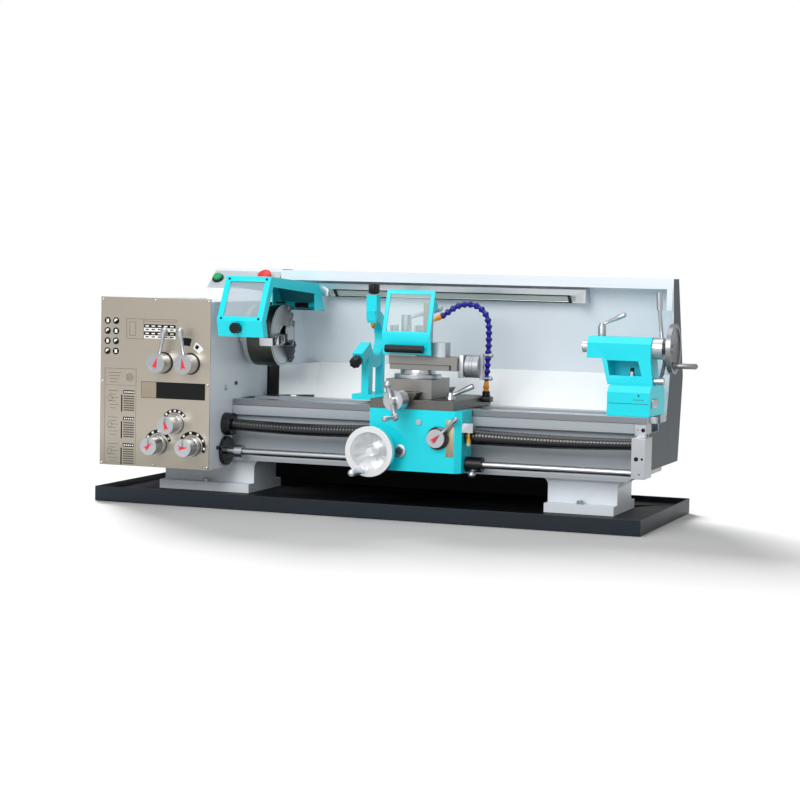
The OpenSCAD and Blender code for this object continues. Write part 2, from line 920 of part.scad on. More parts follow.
// Sheet cover over the belt drive at the left end
module gear_cover() {
    color("#b9c4cc") difference() {
        blk([cover_x0, head_y0, box_z0], [bed_x0, cover_y1, head_z1]);
        blk([cover_x0 + cover_t, head_y0 + cover_t, box_z0 + cover_t],
            [bed_x0 - cover_t, cover_y1 - cover_t, head_z1 - cover_t]);
        bar_x(bed_x0 - cover_t - over, bed_x0 + over, 0, spindle_z, cover_hole_d);
        bar_x(bed_x0 - cover_t - over, bed_x0 + over, motor_y, motor_z, cover_hole_d / 2);
    }
}

// Brushed front panel over the headstock, the gearbox and the cover
module control_panel() {
    color("#b9a98f") difference() {
        blk([cover_x0, panel_y0, box_z0], [head_x1, head_y0, panel_z1]);
        for (k = concat(low_knobs, high_knobs)) bar_y(panel_y0 - over, head_y0 + over, k[0], k[1], panel_hole_d);
    }
}

// Heads of the panel screws and of the two cap screws on the right face
module screws() {
    x0 = cover_x0 + panel_screw_in;
    x1 = head_x1 - panel_screw_in;
    z0 = box_z0 + panel_screw_in;
    z1 = panel_z1 - panel_screw_in;
    color("#8d9298") {
        for (x = [x0, (x0 + x1) / 2, x1], z = [z0, z1]) bar_y(panel_y0 - panel_screw_h, panel_y0, x, z, panel_screw_d);
        for (x = [x0, x1]) bar_y(panel_y0 - panel_screw_h, panel_y0, x, (z0 + z1) / 2, panel_screw_d);
        for (c = cap_screws) difference() {
            bar_x(head_x1, head_x1 + screw_h, c[0], c[1], screw_d);
            bar_x(head_x1 + screw_h / 2, head_x1 + screw_h + over, c[0], c[1], screw_socket_d);
        }
    }
}

// Control box: a hollow sheet box with a sloped face and a collar round each button
module on_slope(x) {
    translate([x, cbox_y0 + cbox_run * button_up_share, cbox_z0 + cbox_lip_h + cbox_slope_h * button_up_share])
        rotate([atan2(cbox_slope_h, cbox_run), 0, 0]) children();
}
module control_box() {
    lip = cbox_z0 + cbox_lip_h;
    outline = [[cbox_y1, cbox_z0], [cbox_y1, cbox_z0 + cbox_h], [cbox_y0 + cbox_run, cbox_z0 + cbox_h],
        [cbox_y0 + cbox_run, lip + cbox_slope_h], [cbox_y0, lip], [cbox_y0, cbox_z0]];
    color("#e4e8ea") difference() {
        union() {
            difference() {
                along_x(cbox_x0, cbox_x1) polygon(outline);
                along_x(cbox_x0 + cbox_t, cbox_x1 - cbox_t) polygon([
                    [cbox_y1 - cbox_t, cbox_z0 + cbox_t], [cbox_y1 - cbox_t, cbox_z0 + cbox_h - cbox_t],
                    [cbox_y0 + cbox_run + cbox_t, cbox_z0 + cbox_h - cbox_t],
                    [cbox_y0 + cbox_run + cbox_t, lip + cbox_slope_h - 2 * cbox_t],
                    [cbox_y0 + cbox_t, lip - 2 * cbox_t], [cbox_y0 + cbox_t, cbox_z0 + cbox_t]]);
            }
            for (x = [start_x, stop_x]) on_slope(x) translate([0, 0, -button_seat])
                cylinder(d = button_rim_d, h = button_seat + button_rim_h, $fn = round_n);
        }
        for (x = [start_x, stop_x]) on_slope(x) translate([0, 0, -button_seat - over])
            cylinder(d = button_d + 2 * run, h = button_seat + button_rim_h + 2 * over, $fn = round_n);
    }
}

// Push buttons: a stem in the collar under a flat cap or a mushroom head
module start_button() {
    color("#2aa05a") on_slope(start_x) translate([0, 0, -button_seat])
        cylinder(d = button_d, h = button_seat + button_rim_h + button_cap_h, $fn = round_n);
}
module stop_button() {
    up = button_rim_h + button_travel + fit;
    color("#d8322a") on_slope(stop_x) rotate_extrude($fn = round_n) polygon([[0, -button_seat],
        [button_d / 2, -button_seat], [button_d / 2, up], [mushroom_d / 2, up],
        [mushroom_d / 2, up + mushroom_h * belly_share], [mushroom_d * waist_share / 2, up + mushroom_h],
        [0, up + mushroom_h]]);
}

// Spindle bearings in the two end walls, and the belt drive inside the left cover
module spindle_bearings() {
    color("#9aa0a6") for (x = [bed_x0, head_x1 - bearing_w]) difference() {
        bar_x(x, x + bearing_w, 0, spindle_z, bearing_d);
        bar_x(x - over, x + bearing_w + over, 0, spindle_z, shaft_od + 2 * run);
    }
}
module motor() {
    color("#5c6670") difference() {
        union() {
            bar_x(bed_x0, bed_x0 + motor_l, motor_y, motor_z, motor_d);
            blk([bed_x0 + motor_foot_t, bed_y1, bed_z0], [bed_x0 + motor_l, motor_y, motor_z]);
        }
        bar_x(bed_x0 - over, bed_x0 + motor_l / 2, motor_y, motor_z, motor_shaft_d + 2 * run);
    }
}
module grooved(x0, l, y, z, d, bore) {
    color("#a8adb3") difference() {
        bar_x(x0, x0 + l, y, z, d);
        bar_x(x0 - over, x0 + l + over, y, z, bore);
        for (i = [0 : groove_n - 1]) turned_x(x0 + l * (i + groove_mid_share) / groove_n, y, z)
            polygon([[d / 2 - groove_h, 0], [d / 2 + over, -groove_h - over], [d / 2 + over, groove_h + over]]);
    }
}
module motor_pulley() {
    grooved(pulley_x0, pulley_l, motor_y, motor_z, motor_pulley_d, motor_shaft_d);
    color("#a8adb3") bar_x(pulley_x0, bed_x0 + motor_l / 2 - over, motor_y, motor_z, motor_shaft_d);
}
module spindle_pulley() {
    grooved(pulley_x0, pulley_l, 0, spindle_z, pulley_d, shaft_od);
}

// Hollow spindle with its nose flange and the chuck's back plate
module spindle() {
    nose_x = head_x1 + fit;
    color("#8b9197") difference() {
        union() {
            bar_x(pulley_x0, chuck_x0, 0, spindle_z, shaft_od);
            bar_x(nose_x, nose_x + nose_l, 0, spindle_z, nose_d);
            bar_x(chuck_x0 - plate_l, chuck_x0, 0, spindle_z, plate_d);
        }
        bar_x(pulley_x0 - over, chuck_x0 + over, 0, spindle_z, spindle_bore);
    }
}

// Chuck body with three slots, and the stepped jaws that slide in them
module round_spindle(i) {
    translate([0, 0, spindle_z]) rotate([jaw_first + i * jaw_turn, 0, 0]) children();
}
module chuck_body() {
    color("#7e858b") difference() {
        bar_x(chuck_x0, chuck_x1, 0, spindle_z, chuck_d);
        bar_x(chuck_x0 - over, chuck_x1 + over, 0, spindle_z, chuck_bore);
        for (i = [0 : 2]) round_spindle(i)
            blk([chuck_x1 - slot_depth, 0, -jaw_w / 2 - fit], [chuck_x1 + over, chuck_d, jaw_w / 2 + fit]);
    }
}
module chuck_jaw(i) {
    x0 = chuck_x1 - slot_depth + fit;
    x1 = chuck_x1 + jaw_proud;
    step_l = (jaw_out - jaw_in) / 3;
    color("#b9bec3") round_spindle(i) translate([0, 0, -jaw_w / 2]) linear_extrude(jaw_w) polygon([
        [x0, jaw_in], [x1, jaw_in], [x1, jaw_in + step_l], [x1 - jaw_step, jaw_in + step_l],
        [x1 - jaw_step, jaw_in + 2 * step_l], [x1 - 2 * jaw_step, jaw_in + 2 * step_l],
        [x1 - 2 * jaw_step, jaw_out], [x0, jaw_out]]);
}
module chuck_jaw_1() {
    chuck_jaw(0);
}
module chuck_jaw_2() {
    chuck_jaw(1);
}
module chuck_jaw_3() {
    chuck_jaw(2);
}

// Chuck guard: a bent sheet with a window opening, a band at each end, barrels, a knob and its hinge rod
module chuck_guard() {
    band = [[cg_y_low, cg_z_low], [cg_y_crease, cg_z_crease], [cg_y_top, cg_z_top], [cg_y_back, cg_z_back],
        [cg_y_tail, cg_z_tail], [cg_hinge_y - cg_frame, cg_z_tail], [cg_y_back - cg_frame, cg_z_back - cg_frame],
        [cg_y_top + cg_frame / 2, cg_z_top - cg_frame], [cg_y_crease + cg_frame, cg_z_crease],
        [cg_y_low + cg_frame, cg_z_low]];
    color("#2fd6e2") difference() {
        union() {
            along_x(cg_x0, cg_x1) polygon(strip(cg_path, -cg_t));
            for (x = [cg_x0, cg_x1 - cg_t]) along_x(x, x + cg_t) polygon(band);
            for (x = [cg_x0 + cg_barrel_in, cg_x1 - cg_barrel_l])
                bar_x(x, x + cg_barrel_l, cg_hinge_y, cg_hinge_z, cg_barrel_d);
            bar_x(head_x1 - wall, cg_x1, cg_hinge_y, cg_hinge_z, cg_rod_d);
            bar_y(cg_y_low - cg_t - cg_knob_l, cg_y_low - cg_t, cg_knob_x, cg_knob_z, cg_knob_d);
        }
        along_x(cg_x0 + cg_win_margin, cg_x1 - cg_win_margin)
            polygon(quad(cg_path[1], cg_path[2], cg_win_low, cg_run - cg_win_margin, -cg_t - over, over));
    }
}
module chuck_guard_window() {
    m = cg_win_margin / 2;
    color("#cfe9ea") along_x(cg_x0 + m, cg_x1 - m)
        polygon(quad(cg_path[1], cg_path[2], cg_win_low - m, cg_run - m, -cg_t - cg_glass_t, -cg_t));
}

// Flat sheet between four corners, given anticlockwise from the side that shows
module facet(p, t) {
    n = cross(p[1] - p[0], p[3] - p[0]);
    polyhedron(concat(p, [for (q = p) q - n / norm(n) * t]), [[3, 2, 1], [3, 1, 0], [4, 5, 6], [4, 6, 7],
        for (i = [0 : 3], h = [0, 1]) let(j = (i + 1) % 4) h == 0 ? [i, j, j + 4] : [i, j + 4, i + 4]]);
}

// Left end of the splash guard: the corner sheet, the closing plate and the turned facet
module guard_left_end() {
    corner_reach = (bulge_y - corner_y) / sin(corner_ang);
    top_reach = (sheet_y(corner_z1) + sheet_t - corner_y) / sin(corner_ang);
    translate([guard_low_x0, corner_y, 0]) rotate([90, 0, corner_ang]) linear_extrude(sheet_t) polygon([[0, corner_z0],
        [corner_reach, corner_z0], [corner_reach, bulge_z], [top_reach, corner_z1], [0, corner_z1]]);
    blk([guard_low_x0, corner_y, slide_z0], [guard_low_x0 + sheet_t, bulge_y, bulge_z]);
    blk([guard_low_x0 - corner_lap, corner_y, slide_z0], [guard_low_x0 + sheet_t, corner_y + sheet_t, bulge_z]);
    facet([[turn_top_x, bulge_y - sheet_t, bulge_z], [guard_low_x0 + sheet_t / 2, head_y1 + turn_side, corner_z0],
        [head_x1 + turn_foot, bed_y1 + turn_gap / 2, turn_z], [turn_low_x, slide_y(turn_z), turn_z]], sheet_t);
}
// Splash guard: bulging back sheet with a top lip and a skirt, sloping lower sheet, end plates and foot brackets
module splash_guard() {
    color("#c4cad0") union() {
        along_x(guard_x0, bed_x1) polygon(strip(back_path, -sheet_t));
        blk([skirt_x0, low_y - sheet_t, floor_z + fit], [skirt_x1, low_y, low_z + sheet_t]);
        difference() {
            along_x(guard_low_x0, bed_x1) polygon(strip(slide_path, sheet_t));
            translate([0, 0, slide_z0 - slide_drop - over]) linear_extrude(bulge_z - slide_z0 + slide_drop + 2 * over)
                polygon([[guard_low_x0 - over, bulge_y], [turn_top_x, bulge_y], [turn_low_x, slide_y(turn_z)],
                [turn_low_x + (turn_low - turn_top) / 2, slide_y0 - over], [guard_low_x0 - over, slide_y0 - over]]);
        }
        guard_left_end();
        along_x(bed_x1, bed_x1 + sheet_t) polygon(concat(back_path, [[end_low_y, low_z], [end_low_y, end_step_z],
            [end_foot_y, end_step_z], [end_foot_y, end_foot_z], [end_in_y, end_foot_z], [end_mid_y, end_mid_z],
            [end_up_y, end_up_z]]));
        blk([bed_x1 - end_flange_w, guard_y0, guard_z1 - end_flange_h], [bed_x1, guard_y0 + sheet_t, guard_z1]);
        for (s = bracket_shares) translate([bed_x0 + s * bed_l, 0, 0]) blk([0, web_y + fit, bed_z0 + bed_flange_h],
            [foot_bracket_w, low_y, bed_z0 + bed_flange_h + foot_bracket_t]);
    }
}

// Work light: a chamfered bar with a recessed window and a bracket at each end that meets the back sheet
module work_light() {
    yc = light_y0 + light_chamfer;
    z0 = light_z0;
    z1 = light_z1;
    color("#b5babf") union() {
        difference() {
            along_x(light_x0, light_x1) polygon([[light_y0, z0 + light_chamfer], [yc, z0], [light_y1, z0],
                [light_y1, z1], [light_y0, z1]]);
            along_x(light_x0 + light_frame, light_x1 - light_frame) polygon(quad([light_y0, z0 + light_chamfer], [yc, z0],
                light_frame / 2, norm([light_chamfer, light_chamfer]) - light_frame / 2, -light_recess, light_recess));
        }
        for (x = [light_x0 - light_end_l, light_x1]) along_x(x, x + light_end_l) polygon([[light_y0, z0],
            [sheet_y(z0), z0], [sheet_y(z1), z1], [light_y0, z1]]);
    }
}

// Bosses where the two rods leave the gearbox, the rods, and the bearing bracket at the right end
module rod_flanges() {
    color("#23262a") {
        difference() {
            bar_x(head_x1, head_x1 + boss_l, rod_y, leadscrew_z, boss_d);
            bar_x(head_x1 - over, head_x1 + boss_l + over, rod_y, leadscrew_z, leadscrew_d + 2 * run);
        }
        difference() {
            bar_x(head_x1, head_x1 + flange_l, rod_y, feed_z, flange_d);
            bar_x(head_x1 - over, head_x1 + flange_l + over, rod_y, feed_z, feed_rod_d + 2 * run);
        }
    }
}
module leadscrew() {
    color("#9ba1a7") bar_x(head_x1 - box_wall, end_x0 + end_l / 2 - fit, rod_y, leadscrew_z, leadscrew_d);
}
module feed_rod() {
    color("#8a9096") union() {
        bar_x(head_x1 - box_wall, end_x0 + end_l / 2 - fit, rod_y, feed_z, feed_rod_d);
        bar_x(head_x1 + flange_l + hub_gap, head_x1 + flange_l + hub_gap + hub_l, rod_y, feed_z, hub_d);
    }
}
module end_bracket() {
    color("#aab3ba") difference() {
        union() {
            blk([end_x0, end_y0, end_z0], [end_x0 + end_l, bed_y0, end_z1]);
            blk([bed_x1 - stop_block_l, bed_y0 - stop_block_y, end_z1], [bed_x1, bed_y0 + way_lip, stop_block_z1]);
            blk([bed_x1 - stop_block_l / 2, bed_y0, bed_z0 + bed_flange_h], [bed_x1, -web_y, end_z1]);
            blk([bed_x1, bed_stop_y, ways_z - bed_stop_l], [bed_x1 + bed_stop_l, bed_stop_y + bed_stop_w, ways_z]);
        }
        bar_x(end_x0 - over, end_x0 + end_l / 2, rod_y, leadscrew_z, leadscrew_d + 2 * run);
        bar_x(end_x0 - over, end_x0 + end_l / 2, rod_y, feed_z, feed_rod_d + 2 * run);
    }
}

// Ribbed boots over the leadscrew: straight ends, a bore, and one ridge for each rib on a slight taper
module boot(x0, l, d0, d1) {
    e0 = d0;
    e1 = d1;
    p = (l - e0 - e1) / boot_ribs;
    taper = (d1 - d0) / 2 / l;
    color("#1c1e21") turned_x(x0, rod_y, leadscrew_z) polygon(concat(
        [[boot_bore / 2, 0], [d0 / 2, 0]],
        [for (i = [0 : boot_ribs - 1], k = [0, 1]) let(s = e0 + (i + k / 2) * p)
            [d0 / 2 + s * taper + (k == 0 ? 0 : boot_rib), s]],
        [[d1 / 2, l - e1], [d1 / 2, l], [boot_bore / 2, l]]));
}
module leadscrew_boot_left() {
    boot(head_x1 + boss_l + fit, saddle_x0 - head_x1 - boss_l - 2 * fit, boot_left_d0, boot_left_d1);
}
module leadscrew_boot_right() {
    boot(apron_x1 + fit, end_x0 - apron_x1 - 2 * fit, boot_right_d0, boot_right_d1);
}

// Dovetail of the cross guide with room around it
module dovetail(room) {
    low = dove_w / 2 - dove_in + room;
    high = dove_w / 2 + room;
    polygon([[cc_x - low, saddle_z1], [cc_x + low, saddle_z1], [cc_x + high, saddle_z1 + dove_h + room],
        [cc_x - high, saddle_z1 + dove_h + room]]);
}

// Saddle on the ways with the cross guide, the crank's boss and the bore for its screw
module saddle() {
    z0 = ways_z + fit;
    color("#4d5257") difference() {
        union() {
            blk([saddle_x0, saddle_y0, z0], [saddle_x1, saddle_y1, saddle_z1]);
            along_y(saddle_y0, saddle_y1) dovetail(0);
            bar_y(saddle_y0 - cc_boss_l, saddle_y0, cc_x, cc_z, cc_boss_d);
        }
        bar_y(saddle_y0 - cc_boss_l - over, cross_y0, cc_x, cc_z, cc_screw_d + 2 * run);
        bar_z(saddle_z1 - sl_pin_l, saddle_z1 + over, sl_x, sl_y, sl_pin_d + 2 * run);
    }
}

// Apron: a casting that is open towards the bed, with bores for both rods and the shafts of its controls
module apron() {
    z1 = ways_z + fit;
    color("#2fd0dc") difference() {
        union() {
            translate([0, 0, apron_z0]) linear_extrude(z1 - apron_z0) polygon([[saddle_x0, saddle_y0],
                [apron_x1 - apron_chamfer, saddle_y0], [apron_x1, saddle_y0 + apron_chamfer], [apron_x1, apron_y1],
                [saddle_x0, apron_y1]]);
            bar_y(saddle_y0 - fl_ring_l, saddle_y0, fl_x, fl_z, fl_ring_d);
            bar_y(saddle_y0 - glass_h, saddle_y0, glass_x, glass_z, glass_d);
            bar_y(saddle_y0 - glass_h, saddle_y0, plug_x, plug_z, plug_d);
            blk([apron_x1, saddle_y0 + apron_chamfer, valve_z0],
                [apron_x1 + valve_l, saddle_y0 + apron_chamfer + valve_w, valve_z1]);
            bar_z(valve_z0 - valve_stem_l, valve_z0, valve_x, valve_y, valve_stem_d);
            bar_z(valve_z0 - valve_stem_l - valve_knob_l, valve_z0 - valve_stem_l, valve_x, valve_y, valve_knob_d);
        }
        blk([saddle_x0 + apron_wall, saddle_y0 + apron_wall, apron_z0 + apron_wall],
            [apron_x1 - apron_wall, apron_y1 + over, z1 - apron_wall]);
        bar_x(saddle_x0 - over, apron_x1 + over, rod_y, leadscrew_z, leadscrew_d + 2 * fit);
        bar_x(saddle_x0 - over, apron_x1 + over, rod_y, feed_z, feed_rod_d + 2 * fit);
        bar_y(saddle_y0 - over, saddle_y0 + apron_wall + over, aw_x, aw_z, aw_shaft_d + 2 * run);
        bar_y(saddle_y0 - fl_ring_l - over, saddle_y0 + apron_wall + over, fl_x, fl_z, shaft_d + 2 * run);
    }
}

// Dished handwheel with a hub nose, used on the apron and on the tailstock, drawn as radius and reach
module wheel_profile(d, rim_w, rim_t, dish, plate_t, hub_d, back) {
    r = d / 2;
    front = back + dish + rim_t;
    polygon([[0, 0], [hub_d / 2, 0], [hub_d / 2, back], [r - rim_w, back + dish], [r, back + dish], [r, front],
        [r - rim_w, front], [r - rim_w, front - plate_t], [hub_d / 2, back + plate_t],
        [hub_d * neck_share, front - plate_t], [0, front - plate_t]]);
}
module apron_handwheel() {
    back = saddle_y0 - aw_gap - aw_rim_y - aw_rim_t - aw_dish;
    color("#c9cdd1") union() {
        turned_front(aw_x, saddle_y0 - aw_gap, aw_z)
            wheel_profile(apron_wheel_d, aw_rim_w, aw_rim_t, aw_dish, aw_plate_t, aw_hub_d, back);
        bar_y(saddle_y0 - aw_gap, saddle_y0 + apron_wall, aw_x, aw_z, aw_shaft_d);
        translate([aw_x + aw_handle_r * cos(aw_handle_ang), aw_rim_y + aw_rim_t, aw_z + aw_handle_r * sin(aw_handle_ang)])
            rotate([90, 0, 0]) {
                cylinder(d = aw_handle_d + aw_pad, h = aw_rim_t, $fn = round_n);
                translate([0, 0, aw_rim_t]) rotate_extrude($fn = round_n) stub_profile(aw_handle_l, aw_handle_d);
            }
    }
}

// Levers on the panel and the apron: a disc on a shaft, with an arm and a grip where there is one
module disc_lever(x, y0, z, disc_d, disc_l, shaft_in) {
    bar_y(y0 - disc_l, y0, x, z, disc_d);
    bar_y(y0, y0 + shaft_in, x, z, shaft_d);
}
module swung(x, y, z, ang) {
    translate([x, y, z]) rotate([0, ang, 0]) children();
}
module speed_lever(x, ang) {
    y0 = panel_y0 - knob_gap;
    color("#b4b9be") union() {
        disc_lever(x, y0, knob_upper_z, upper_knob_d, upper_knob_l, shaft_reach);
        swung(x, y0 - upper_knob_l + lever_stand, knob_upper_z, ang) {
            cylinder(d = lever_d, h = lever_reach - lever_grip_l, $fn = round_n);
            translate([0, 0, lever_reach - lever_grip_l])
                rotate_extrude($fn = round_n) grip_profile(lever_grip_l, lever_grip_d);
        }
    }
}
module speed_lever_left() {
    speed_lever(knob_left_x, speed_left_ang);
}
module speed_lever_right() {
    speed_lever(knob_right_x, speed_right_ang);
}
module feed_knob(k) {
    y0 = panel_y0 - knob_gap;
    color("#b4b9be") difference() {
        union() {
            disc_lever(k[0], y0, k[1], lower_knob_d, lower_knob_l, shaft_reach);
            bar_y(y0 - knob_base_l, y0, k[0], k[1], knob_base_d);
        }
        blk([k[0] - knob_slot_w / 2, y0 - lower_knob_l - over, k[1]],
            [k[0] + knob_slot_w / 2, y0 - lower_knob_l + knob_slot_w, k[1] + lower_knob_d / 2 + over]);
    }
}
module feed_knob_top() {
    feed_knob(low_knobs[0]);
}
module feed_knob_left() {
    feed_knob(low_knobs[1]);
}
module feed_knob_right() {
    feed_knob(low_knobs[2]);
}
module feed_lever() {
    y0 = saddle_y0 - fl_ring_l - knob_gap;
    color("#b4b9be") union() {
        disc_lever(fl_x, y0, fl_z, fl_disc_d, fl_disc_l, fl_ring_l + apron_wall);
        swung(fl_x, y0 - fl_disc_l / 2, fl_z, fl_ang) {
            cylinder(d = lever_d, h = fl_lever_l - lever_grip_l, $fn = round_n);
            translate([0, 0, fl_lever_l - lever_grip_l])
                rotate_extrude($fn = round_n) grip_profile(lever_grip_l, fl_grip_d);
        }
    }
}

// Control lever: a collar on the feed rod beside the apron, with a short arm and a ball
module control_lever() {
    xm = cl_x0 + cl_l * cl_arm_share;
    color("#24272b") difference() {
        union() {
            bar_x(cl_x0, cl_x0 + cl_l, rod_y, feed_z, cl_d);
            translate([xm, rod_y, feed_z]) rotate([90 + cl_drop, 0, 0]) {
                cylinder(d = cl_arm_d, h = cl_arm_l, $fn = round_n);
                translate([0, 0, cl_arm_l]) sphere(d = cl_ball_d, $fn = round_n);
            }
        }
        bar_x(cl_x0 - over, cl_x0 + cl_l + over, rod_y, feed_z, feed_rod_d + 2 * fit);
    }
}
module saddle_lock_lever() {
    color("#b4b9be") union() {
        bar_z(saddle_z1 - sl_pin_l, saddle_z1 + fit, sl_x, sl_y, sl_pin_d);
        translate([sl_x, sl_y, saddle_z1 + fit])
            cylinder(d1 = sl_hub_d, d2 = sl_hub_d * waist_share, h = sl_hub_h, $fn = round_n);
        translate([sl_x, sl_y, saddle_z1 + fit + sl_hub_h / 2]) rotate([0, 0, sl_turn]) rotate([0, 90 - sl_tilt, 0])
            rotate_extrude($fn = round_n) grip_profile(sl_arm_l, sl_arm_d);
    }
}

// Coolant hose: an arm on the saddle, a socket and a fitting, then one beaded tube with its bore and a nozzle
hose_last = len(hose_route) - 1;
hose_rings = 2 * hose_beads;
function hose_node(i) = [hose_x, saddle_z1] + hose_route[min(max(i, 0), hose_last)];
function hose_at(s) = let(i = min(floor(s), hose_last - 1), f = s - i, a = hose_node(i - 1), b = hose_node(i),
    c = hose_node(i + 1), d = hose_node(i + 2))
    b + (c - a) * f / 2 + (2 * a - 5 * b + 4 * c - d) * f * f / 2 + (3 * b - 3 * c + d - a) * f * f * f / 2;
function hose_way(s) = along(hose_at(max(s - hose_step, 0)), hose_at(min(s + hose_step, hose_last)));
function hose_ring(s, r) = let(c = hose_at(s), w = left(hose_way(s)))
    [for (k = [0 : hose_sides - 1]) let(a = k * 360 / hose_sides)
        [c[0] + w[0] * r * cos(a), hose_y + r * sin(a), c[1] + w[1] * r * cos(a)]];
function hose_r(j) = (j % 2 == 1 ? hose_d : hose_waist_d) / 2;
function wrap(k) = (k + 1) % hose_sides;
module beaded_hose() {
    n = hose_sides;
    m = hose_rings;
    outer = [for (j = [0 : m]) each hose_ring(j * hose_last / m, hose_r(j))];
    inner = [for (j = [0 : m]) each hose_ring(j * hose_last / m, hose_bore / 2)];
    t = len(outer);
    polyhedron(concat(outer, inner), [
        for (j = [0 : m - 1], k = [0 : n - 1], h = [0, 1]) let(a = j * n + k, b = j * n + wrap(k))
            h == 0 ? [b + n, a + n, a] : [b, b + n, a],
        for (j = [0 : m - 1], k = [0 : n - 1], h = [0, 1]) let(a = t + j * n + k, b = t + j * n + wrap(k))
            h == 0 ? [a + n, b + n, a] : [b + n, b, a],
        for (k = [0 : n - 1], h = [0, 1]) h == 0 ? [t + wrap(k), wrap(k), k] : [t + k, t + wrap(k), k],
        for (k = [0 : n - 1], h = [0, 1]) let(a = m * n + k, b = m * n + wrap(k))
            h == 0 ? [t + a, a, b] : [t + b, t + a, b]]);
}
module coolant_hose() {
    end = hose_node(hose_last);
    dir = along(hose_node(hose_last - 1), end);
    z0 = saddle_z1;
    color("#4a48b8") beaded_hose();
    color("#e08a3c") {
        blk([saddle_x1, hose_y - hose_arm_w / 2, z0 - hose_arm_h], [saddle_x1 + hose_arm_l, hose_y + hose_arm_w / 2, z0]);
        bar_z(z0, z0 + hose_base_h, hose_x, hose_y, hose_base_d);
        bar_z(z0 + hose_base_h, hose_node(0)[1], hose_x, hose_y, hose_fit_d);
        translate([end[0], hose_y, end[1]]) rotate([0, atan2(dir[0], dir[1]), 0]) difference() {
            rotate_extrude($fn = round_n) polygon([[0, 0], [nozzle_d / 2, 0], [nozzle_d / 2, nozzle_l * waist_share],
                [nozzle_tip_d / 2, nozzle_l], [0, nozzle_l]]);
            translate([0, 0, -over]) cylinder(d = hose_bore / 2, h = nozzle_l + 2 * over, $fn = round_n);
        }
    }
}

// Follow rest: a foot beside the saddle, two legs, an open ring round the spindle axis and two finger arms
module at_ring(ang) {
    translate([fr_x, 0, spindle_z]) rotate([ang - 90, 0, 0]) children();
}
module follow_rest() {
    x0 = fr_x - fr_t / 2;
    x1 = fr_x + fr_t / 2;
    leg_x1 = x1 - fr_leg_in;
    leg_x0 = leg_x1 - fr_leg_t;
    foot_z1 = fr_foot_z0 + fr_foot_h;
    mouth_step = (fr_mouth_a1 - fr_mouth_a0) / fr_mouth_n;
    color("#2fd0dc") difference() {
        union() {
            blk([leg_x0 - fr_toe, fr_foot_y0, fr_foot_z0], [saddle_x0, fr_foot_y1, foot_z1]);
            blk([saddle_x0 - fr_tongue_l, fr_foot_y0, saddle_z1],
                [cross_x0 - fr_tongue_gap, fr_foot_y1, saddle_z1 + fr_tongue_h]);
            blk([leg_x0, fr_leg_y0, fr_foot_z0], [leg_x1, fr_leg_y0 + fr_front_w, fr_leg_z1]);
            blk([leg_x0, fr_leg_y1 - fr_back_w, fr_foot_z0], [leg_x1, fr_leg_y1, fr_leg_z1]);
            bar_x(fr_x - fr_ring_t / 2, fr_x + fr_ring_t / 2, 0, spindle_z, 2 * fr_ring_out);
            for (a = [90, finger_ang]) at_ring(a)
                blk([-fr_t / 2, -fr_arm / 2, finger_arm_in], [fr_t / 2, fr_arm / 2, finger_arm_out]);
        }
        bar_x(x0 - over, x1 + over, 0, spindle_z, 2 * fr_ring_r);
        difference() {
            along_x(x0 - over, x1 + over) polygon([[0, spindle_z], for (i = [0 : fr_mouth_n])
                let(a = fr_mouth_a0 + i * mouth_step, r = 2 * fr_ring_out) [r * cos(a), spindle_z + r * sin(a)]]);
            for (a = [90, finger_ang]) at_ring(a)
                blk([-fr_t, -fr_arm / 2, finger_arm_in], [fr_t, fr_arm / 2, finger_arm_out + over]);
        }
        for (a = [90, finger_ang]) at_ring(a) cylinder(d = finger_d + 2 * run, h = finger_out, $fn = round_n);
    }
}
module rest_finger(ang) {
    color("#26292d") at_ring(ang) {
        translate([0, 0, finger_tip_r]) cylinder(d = finger_d, h = finger_out - finger_tip_r, $fn = round_n);
        translate([0, 0, finger_arm_out + finger_lift]) cylinder(d = finger_knob_d, h = finger_knob_l, $fn = round_n);
    }
}
module rest_finger_top() {
    rest_finger(90);
}
module rest_finger_front() {
    rest_finger(finger_ang);
}

// Cross slide with the channel that rides on the saddle's guide
module cross_slide() {
    y1 = cross_y0 + cross_l;
    color("#565b60") difference() {
        blk([cross_x0, cross_y0, saddle_z1 + fit], [cross_x0 + cross_w, y1, cross_z1]);
        along_y(cross_y0 - over, y1 + over) dovetail(fit);
    }
}

// Ball crank of the cross slide with its graduated dial and screw
module cross_crank() {
    y0 = saddle_y0 - cc_boss_l - fit;
    y1 = y0 - cc_dial_l - cc_hub_l / 2;
    color("#b4b9be") union() {
        bar_y(y0, cross_y0 - over, cc_x, cc_z, cc_screw_d);
        bar_y(y0 - cc_dial_l, y0, cc_x, cc_z, cc_dial_d);
        bar_y(y0 - cc_dial_l - cc_hub_l, y0 - cc_dial_l, cc_x, cc_z, cc_hub_d);
        swung(cc_x, y1, cc_z, cc_ang) {
            translate([0, 0, -cc_arm_l]) cylinder(d = cc_arm_d, h = 2 * cc_arm_l, $fn = round_n);
            for (s = [-1, 1]) translate([0, 0, s * cc_arm_l]) sphere(d = cc_ball_d, $fn = round_n);
        }
        translate([cc_x - cc_arm_l * sin(cc_ang), y1, cc_z - cc_arm_l * cos(cc_ang)]) rotate([90, 0, 0])
            rotate_extrude($fn = round_n) grip_profile(cc_handle_l, cc_handle_d);
    }
}

